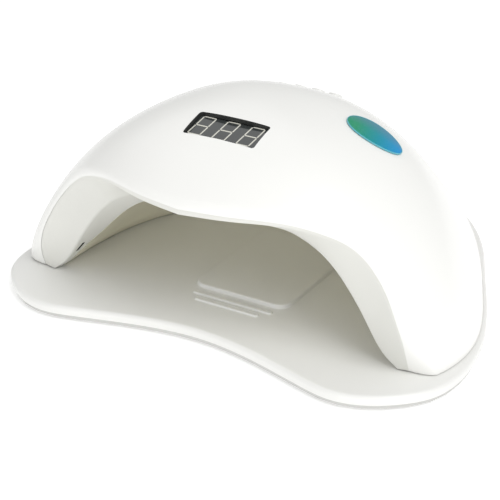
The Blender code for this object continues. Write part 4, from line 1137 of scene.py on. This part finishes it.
@dataclass
class Cover:
    """The glossy dome with its window, button and jack openings."""

    dome: DomeForm
    window: DisplayWindow
    buttons: TimerButtons
    jack: PowerJack
    wall: float = 0.0024
    columns: int = 181
    rows: int = 110

    def build(self) -> bpy.types.Object:
        """Build the shell and cut its openings."""
        angles = np.linspace(0.0, pi, self.columns)
        shell = closed_shell("cover_shell", self.dome.rows(angles, 0.0, self.rows),
                             self.dome.rows(angles, self.wall, self.rows))
        shell.materials.append(COVER_GLOSS.material())
        cutters = [self.window.cutter(), *self.buttons.cutters(), self.jack.cutter()]
        return add_piece("cover_shell", carve(shell, cutters, 28.0), COVER_GLOSS, "head",
                         "top_cover", slot="cover_gloss")


@dataclass
class FrontBezel:
    """The cheeks, the underside of the brow and the return into the opening."""

    dome: DomeForm
    cavity: CavityForm
    wall: float = 0.0016
    gap: float = 0.0003
    seam: float = 0.00008
    cover_wall: float = 0.0024
    tuck: tuple = (0.0010, 0.0002)
    slot_corner: float = 0.0004
    slot_cut: tuple = (-0.006, 0.006)
    edge_radius: float = 0.0011
    columns: int = 181

    def rows(self) -> np.ndarray:
        """Return the rows of the visible face, from the cover's lip to the throat."""
        angles = np.linspace(0.0, pi, self.columns)
        shares = angles / pi
        inset = np.maximum(self.dome.turn(angles), self.cover_wall) + self.gap
        inset = inset + (self.wall + self.gap) * np.sin(angles) ** 4
        start = self.dome.start(angles)
        lip = self.dome.point(start, angles, inset)
        mouth, rear = self.cavity.mouth(shares), self.cavity.rear(shares)
        to_lip, to_rear = lip - mouth, rear - mouth
        lip_length = np.linalg.norm(to_lip, axis=1)[:, None]
        rear_length = np.linalg.norm(to_rear, axis=1)[:, None]
        before = mouth + to_lip * np.minimum(self.edge_radius / lip_length, 0.5)
        after = mouth + to_rear * np.minimum(self.edge_radius / rear_length, 0.5)
        turn = self.dome.turn(angles)
        made = [self.dome.point(start + back, angles, turn + self.seam)
                for back in self.tuck]
        made.append(made[-1] * 0.5 + lip * 0.5)
        made.append(lip)
        made += [lip + (before - lip) * s for s in np.linspace(0.0, 1.0, 12)[1:]]
        for s in np.linspace(0.0, 1.0, 7)[1:]:
            made.append(before * (1 - s) ** 2 + mouth * 2 * s * (1 - s) + after * s ** 2)
        made += [after + (rear - after) * s for s in np.linspace(0.0, 1.0, 7)[1:]]
        return np.array(made)

    def slot_cutter(self, side: str) -> bpy.types.Mesh:
        """Return the slot round one infrared window, through the return's wall; its walls are painted
        near-black as shade in the slot.
        """
        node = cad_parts["ir_window_" + side]
        points = np.array([tuple(node.matrix_world @ v.co) for v in node.data.vertices])
        centre = points.mean(axis=0)
        axes = np.linalg.svd(points - centre)[2]
        shares = np.linspace(0.02, 0.30, 300)
        mouth, rear = self.cavity.mouth(shares), self.cavity.rear(shares)
        nearest = int(np.argmin(np.abs((mouth + rear)[:, 2] / 2 - centre[2])))
        normal = np.cross(rear[nearest] - mouth[nearest], mouth[nearest + 1] - mouth[nearest - 1])
        normal = normal * (np.sign(centre[0]), 1.0, 1.0)
        through = int(np.argmax(np.abs(axes @ normal)))
        reach = np.delete(np.abs((points - centre) @ axes.T).max(axis=0), through)
        flat = [Vector(axis) for axis in np.delete(axes, through, axis=0)]
        outline = rounded_rectangle(*(2 * (reach + self.gap)), self.slot_corner)
        mesh = slab("slot", outline, [(0.0, z) for z in self.slot_cut])
        place = Matrix((flat[0], flat[1], flat[0].cross(flat[1]))).transposed().to_4x4()
        place.translation = centre
        mesh.transform(place)
        # Painted shade: the slot's walls get the near-black finish.
        mesh.materials.append(RECESS_PAINTED_SHADE.material())
        return mesh

    def build(self) -> bpy.types.Object:
        """Build the bezel as a sheet with a wall behind it and its two slots."""
        rows = self.rows()
        mesh = finish_mesh("bezel_shell", rows, sheet_faces(*rows.shape[:2]), 50.0)
        mesh.materials.append(BEZEL_SATIN.material())
        self.face_outwards(mesh)
        cutters = [self.slot_cutter(side) for side in ("left", "right")]
        carved = carve(mesh, cutters, 50.0, self.wall)
        return add_piece("bezel_shell", carved, BEZEL_SATIN, "head", "front_bezel",
                         slot="bezel_white")

    @staticmethod
    def face_outwards(mesh: bpy.types.Mesh) -> None:
        """Turn the sheet so that its cheeks face the front."""
        facing = sum(p.normal.y * p.area for p in mesh.polygons)
        if facing > 0.0:
            mesh.flip_normals()


@dataclass
class LightStrips:
    """Three boards of light emitters above the liner."""

    cavity: CavityForm
    ends: tuple = ("front", "middle", "rear")
    across: tuple = (-0.033, -0.011, 0.011, 0.033)
    lens_radius: float = 0.0026
    hole_clearance: float = 0.0005
    hole_reach: float = 0.008
    board: float = 0.0016
    board_corner: float = 0.0015
    die: tuple = (0.0014, 0.0002)
    die_levels: tuple = (0.0016, 0.0019)

    def spots(self, end: str) -> list[tuple[float, float, float]]:
        """Return x, y and height of the liner's face at each emitter of a strip."""
        low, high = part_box("light_strip_" + end)
        y = (low.y + high.y) / 2
        return [(x, y, self.cavity.ceiling(x, y)) for x in self.across]

    def cutters(self) -> list[bpy.types.Mesh]:
        """Return the holes in the liner for all lenses."""
        made = []
        radius = self.lens_radius + self.hole_clearance
        for end in self.ends:
            for x, y, z in self.spots(end):
                low, high = -self.hole_reach, self.hole_reach
                profile = ((0.0, low), (radius, low), (radius, high), (0.0, high))
                mesh = turned("lens_hole", profile, 28)
                mesh.transform(Matrix.Translation((x, y, z)))
                made.append(mesh)
        return made

    def lens(self, tip: float, top: float) -> bpy.types.Mesh:
        """Return one domed lens that hangs down to its tip."""
        arc = [(self.lens_radius * sin(a), tip + self.lens_radius * (1 - cos(a)))
               for a in np.linspace(0.0, pi / 2, 9)]
        return turned("lens", (*arc, (self.lens_radius, top), (0.0, top)), 32)

    def build(self) -> None:
        """Build each strip's board, lenses and emitter dies."""
        for end in self.ends:
            low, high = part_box("light_strip_" + end)
            name = "strip_board_" + end
            outline = rounded_rectangle(high.x - low.x, high.y - low.y, self.board_corner)
            levels = round_over(-self.board, 0.0, 0.0001, 2)
            place = Matrix.Translation(((low.x + high.x) / 2, (low.y + high.y) / 2, high.z))
            add_piece(name, slab(name, outline, levels), WHITE_BOARD, "head",
                      "light_strip_" + end, place=place, slot="strip_white")
            lenses, dies = [], []
            bottom = high.z - self.board - 0.00002
            for x, y, z in self.spots(end):
                lens = self.lens(z, bottom)
                lens.transform(Matrix.Translation((x, y, 0.0)))
                lenses.append(lens)
                size, corner = self.die
                die = slab("die", rounded_rectangle(size, size, corner, 3),
                           [(0.0, z + lift) for lift in self.die_levels])
                die.transform(Matrix.Translation((x, y, 0.0)))
                dies.append(die)
            add_piece("lenses_" + end, joined("lenses_" + end, lenses), LENS, "head",
                      slot="strip_white")
            add_piece("dies_" + end, joined("dies_" + end, dies), DIE_GOLD, "head",
                      slot="strip_white")


@dataclass
class CavityLiner:
    """The arched reflector that lines the hand cavity."""

    cavity: CavityForm
    strips: LightStrips
    wall: float = 0.0016
    columns: int = 121
    steps: int = 44

    def rows(self, outset: float) -> np.ndarray:
        """Return rows of points from the throat to the back."""
        shares = np.linspace(0.0, 1.0, self.columns)
        alongs = [1 - (1 - i / self.steps) ** 2 for i in range(self.steps + 1)]
        return np.array([self.cavity.wall(along, shares, outset) for along in alongs])

    def build(self) -> bpy.types.Object:
        """Build the shell with its lens holes."""
        shell = closed_shell("liner_shell", self.rows(self.wall), self.rows(0.0))
        shell.materials.append(LINER_SATIN.material())
        carved = carve(shell, self.strips.cutters())
        return add_piece("liner_shell", carved, LINER_SATIN, "head", "inner_liner",
                         slot="liner_warm")


@dataclass
class Badge:
    """The oval badge on the dome's right shoulder: a colour fade inside a pale rim."""

    dome: DomeForm
    x: float = 0.0480
    y: float = -0.0208
    long: float = 0.0272
    short: float = 0.0186
    lift: float = 0.0003
    thickness: float = 0.0006
    rim_share: float = 0.972
    segments: int = 120

    def __post_init__(self) -> None:
        """Find the badge's centre and axes."""
        self.centre = Vector((self.x, self.y, self.dome.height(self.x, self.y)))
        normal = self.dome.normal(self.x, self.y)
        slant = Vector((1.0, 0.33, 0.0))
        self.along = (slant - normal * slant.dot(normal)).normalized()
        self.across = normal.cross(self.along)

    def ring(self, size: float, lift: float) -> list[Vector]:
        """Return an oval ring that follows the dome at a height above it."""
        made = []
        for step in range(self.segments):
            angle = 2 * pi * step / self.segments
            flat = self.centre + self.along * (self.long / 2 * size * cos(angle)) \
                + self.across * (self.short / 2 * size * sin(angle))
            over = Vector((flat.x, flat.y, self.dome.height(flat.x, flat.y)))
            made.append(over + self.dome.normal(flat.x, flat.y) * lift)
        return made

    def sheet(self, name: str, rings: Sequence[Point], capped: bool) -> bpy.types.Mesh:
        """Return a body through (size, lift) rings, capped at its last ring or closed on itself."""
        rows = [self.ring(size, lift) for size, lift in rings]
        if not capped:
            rows.append(rows[0])
        faces = sheet_faces(len(rows), self.segments, closed=True)
        points = np.array([[tuple(p) for p in row] for row in rows])
        if capped:
            last = (len(rows) - 1) * self.segments
            faces.append(tuple(range(self.segments)))
            faces.append(tuple(range(last, last + self.segments)))
        return finish_mesh(name, points, faces, 40.0)

    def build(self) -> None:
        """Build the printed face and the rim."""
        top = self.lift + self.thickness
        inner = self.rim_share - 0.002
        face = [(inner, self.lift), (inner, top - 0.0001)]
        face += [((inner - 0.005) * (1 - i / 14), top - 0.00006 * (i == 0)) for i in range(14)]
        finish = BadgePrint("badge_print", (0.02, 0.29, 0.15), centre=tuple(self.centre),
                            along=tuple(self.along / (self.long / 2)),
                            across=tuple(self.across / (self.short / 2)))
        add_piece("badge_face", self.sheet("badge_face", face, True), finish, "head", "badge",
                  slot="badge_blue")
        rim = [(self.rim_share, self.lift), (1.0, self.lift), (1.0, top - 0.00015),
               (0.996, top + 0.00002), (0.986, top + 0.00006), (0.978, top + 0.00004),
               (self.rim_share, top - 0.0001)]
        add_piece("badge_rim", self.sheet("badge_rim", rim, False), RIM_CYAN, "head",
                  slot="badge_blue")


# ---- base ----------------------------------------------------------------------------------
@dataclass
class BasePlate:
    """The lobed plate with its raised hand rest and two low ribs."""

    half: tuple = ((0.0, -0.0872), (0.020, -0.0892), (0.040, -0.0940), (0.058, -0.0992),
                   (0.072, -0.1017), (0.086, -0.0985), (0.098, -0.0905), (0.107, -0.0800),
                   (0.1112, -0.0665), (0.1115, -0.0500), (0.1085, -0.0320), (0.1015, -0.0110),
                   (0.0925, 0.0100), (0.0850, 0.0260), (0.0765, 0.0450), (0.0640, 0.0660),
                   (0.0450, 0.0860), (0.0230, 0.0978), (0.0, 0.1015))
    thickness: float = 0.0041
    fillet: float = 0.0019
    rest_width: float = 0.048
    rest_front: float = -0.0530
    rest_length: float = 0.066
    rest_height: float = 0.0018
    rest_corner: float = 0.006
    rib_width: float = 0.0022
    rib_height: float = 0.0009
    rib_pitch: float = 0.0050
    rib_lengths: tuple = (0.040, 0.032)
    samples: int = 360
    box_margin: float = 0.00026
    rest_flare: float = 0.0006
    rib_flare: float = 0.0007
    rib_share: float = 0.8

    def outline(self) -> np.ndarray:
        """Return the plate's outline, anticlockwise."""
        wrap = 3
        loop = [*self.half, *[(-x, y) for x, y in reversed(self.half[1:-1])]]
        rows = np.array([*loop[-wrap:], *loop, *loop[:wrap + 1]])
        steps = np.linalg.norm(np.diff(rows, axis=0), axis=1)
        length = np.concatenate(([0.0], np.cumsum(steps)))
        curve = Spline(length, rows)
        start, end = length[wrap], length[wrap + len(loop)]
        return curve.at(start + (end - start) * np.arange(self.samples) / self.samples)

    def pad(self, name: str, outline: np.ndarray, low: float, height: float,
            flare: float) -> bpy.types.Mesh:
        """Return a raised pad that flares softly into the plate."""
        levels = [(flare * (1 - sin(a)), low + flare * (1 - cos(a)) - 0.00003)
                  for a in np.linspace(0.0, pi / 2, 5)]
        levels.insert(0, (flare, low - 0.0004))
        rounding = min(0.0007, height * 0.45)
        levels += [(-rounding * (1 - cos(a)), low + height - rounding * (1 - sin(a)))
                   for a in np.linspace(0.0, pi / 2, 5)]
        levels.append((-rounding * 1.5, low + height))
        return slab(name, outline, levels)

    def build(self) -> bpy.types.Object:
        """Build the plate with what stands on it."""
        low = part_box("base_plate")[0].z
        top = low + self.thickness
        edge = [(-0.0006, low), (-0.0002, low + 0.0001), (0.0, low + 0.0006)]
        edge += round_over(low + self.fillet, top, self.fillet, 8, both=False)[1:]
        meshes = [slab("plate", grown(self.outline(), -self.box_margin), edge)]
        middle = self.rest_front + self.rest_length / 2
        rest = rounded_rectangle(self.rest_width, self.rest_length, self.rest_corner, 12)
        meshes.append(self.pad("rest", rest + np.array((0.0, middle)), top, self.rest_height,
                               self.rest_flare))
        for i, length in enumerate(self.rib_lengths):
            rib = rounded_rectangle(length, self.rib_width, self.rib_width * 0.45)
            shift = np.array((0.0, self.rest_front - self.rib_pitch * (i + 1)))
            meshes.append(self.pad("rib", rib + shift, top, self.rib_height * self.rib_share,
                                   self.rib_flare))
        return add_piece("plate_shell", joined("plate_shell", meshes), PLATE_SATIN, "base",
                         "base_plate", slot="plate_white")


@dataclass
class RubberFeet:
    """Four round pads under the base."""

    ends: tuple = ("front_left", "front_right", "rear_left", "rear_right")
    groove: float = 0.00025

    def build(self) -> None:
        """Build each pad with a ring groove in its sole."""
        for end in self.ends:
            low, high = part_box("rubber_foot_" + end)
            radius = (high.x - low.x) / 2
            top = high.z - low.z
            profile = ((0.0, self.groove), (radius * 0.3, self.groove), (radius * 0.36, 0.0),
                       (radius * 0.62, 0.0), (radius * 0.66, self.groove),
                       (radius * 0.72, self.groove), (radius * 0.76, 0.0), (radius * 0.88, 0.0),
                       (radius * 0.93, 0.00015), (radius * 0.985, top * 0.6),
                       (radius, top - 0.0001), (radius * 0.98, top), (0.0, top))
            place = Matrix.Translation(((low.x + high.x) / 2, (low.y + high.y) / 2, low.z))
            name = "foot_pad_" + end
            add_piece(name, turned(name, profile, 56), FOOT_RUBBER, "base", "rubber_foot_" + end,
                      place=place, slot="foot_rubber")


@dataclass
class InnerWorks:
    """Gives the pieces that come from the CAD as they are their finishes."""

    finishes: tuple = (("base_tray", TRAY_MATT), ("steel_disc", BRIGHT_STEEL),
                       ("tray_screw", BRIGHT_STEEL), ("cover_screw", BRIGHT_STEEL),
                       ("bottom_frame", FRAME_MATT), ("digit_module", MODULE_BLACK),
                       ("control_board", GREEN_BOARD), ("switch_board", GREEN_BOARD),
                       ("driver_board", GREEN_BOARD), ("sensor_board", GREEN_BOARD),
                       ("switch_", SWITCH_BLACK), ("ir_window", SMOKED),
                       ("dock_magnet", NICKEL), ("wire_", WIRE_WHITE))

    def build(self) -> None:
        """Dress every CAD node that is shown."""
        for name, node in sorted(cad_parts.items()):
            finish = next((f for start, f in self.finishes if name.startswith(start)), None)
            if finish is None or node.hide_render:
                continue
            for slot in node.material_slots:
                slot.material = finish.material()
            LOG.info("carried over %s with %s", name, finish.name)


# ---- studio --------------------------------------------------------------------------------
@dataclass
class Studio:
    """Pale floor, soft light and the camera."""

    azimuth: float = 30.989
    elevation: float = 26.497
    eye: tuple = (0.3117, -0.5619, 0.3284)
    lens: float = 109.68
    sensor: float = 36.0
    floor_half: float = 3.0
    floor_points: int = 9
    floor_dip: float = 0.00005
    sky: float = 0.56
    key_power: float = 8.4
    fill_power: float = 1.5
    front_power: float = 1.6

    def camera(self) -> bpy.types.Object:
        """Place the camera."""
        data = bpy.data.cameras.new("camera")
        data.lens = self.lens
        data.sensor_width = self.sensor
        data.clip_start = 0.02
        made = bpy.data.objects.new("camera", data)
        bpy.context.scene.collection.objects.link(made)
        a, e = radians(self.azimuth), radians(self.elevation)
        right = Vector((cos(a), sin(a), 0.0))
        ahead = Vector((-sin(a) * cos(e), cos(a) * cos(e), -sin(e)))
        place = Matrix((right, right.cross(ahead), -ahead)).transposed().to_4x4()
        place.translation = self.eye
        made.matrix_world = place
        bpy.context.scene.camera = made
        return made

    def floor(self) -> bpy.types.Object:
        """Lay the floor just under the feet."""
        count = self.floor_points
        side = np.linspace(-self.floor_half, self.floor_half, count)
        points = np.array([[(x, y, -self.floor_dip) for x in side] for y in side])
        made = bpy.data.objects.new("floor", finish_mesh("floor", points, sheet_faces(count, count)))
        bpy.context.scene.collection.objects.link(made)
        made.data.materials.append(FLOOR.material())
        if made.data.polygons[0].normal.z < 0.0:
            made.data.flip_normals()
        return made

    def softbox(self, name: str, at: tuple, size: float, power: float) -> bpy.types.Object:
        """Hang a square area light that faces the lamp."""
        data = bpy.data.lights.new(name, "AREA")
        data.size = size
        data.energy = power
        made = bpy.data.objects.new(name, data)
        bpy.context.scene.collection.objects.link(made)
        made.location = at
        aim = Vector((0.0, 0.0, 0.04)) - Vector(at)
        made.rotation_euler = aim.to_track_quat("-Z", "Y").to_euler()
        return made

    def build(self) -> None:
        """Set up everything round the lamp."""
        world = bpy.data.worlds.new("pale_room")
        world.use_nodes = True
        background = world.node_tree.nodes["Background"]
        background.inputs["Color"].default_value = (1.0, 1.0, 0.995, 1.0)
        background.inputs["Strength"].default_value = self.sky
        bpy.context.scene.world = world
        bpy.context.scene.view_settings.view_transform = "Standard"
        self.floor()
        self.softbox("key_softbox", (0.80, -0.30, 1.10), 0.9, self.key_power)
        self.softbox("front_softbox", (0.10, -0.90, 0.12), 0.5, self.front_power)
        self.softbox("fill_softbox", (-0.7, 0.5, 1.0), 1.0, self.fill_power)
        self.camera()


def main() -> None:
    """Build the lamp's looks from the base up, then the studio round it."""
    logging.basicConfig(level=logging.INFO, format="%(name)s: %(message)s")
    rim_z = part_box("top_cover")[0].z
    dome = DomeForm(rim_z)
    cavity = CavityForm(rim_z)
    BasePlate().build()
    RubberFeet().build()
    window = DisplayWindow(dome)
    buttons = TimerButtons(dome)
    jack = PowerJack()
    Cover(dome, window, buttons, jack).build()
    FrontBezel(dome, cavity).build()
    strips = LightStrips(cavity)
    CavityLiner(cavity, strips).build()
    strips.build()
    window.build()
    buttons.build()
    jack.build()
    Badge(dome).build()
    InnerWorks().build()
    Studio().build()


if __name__ == "__main__":
    main()
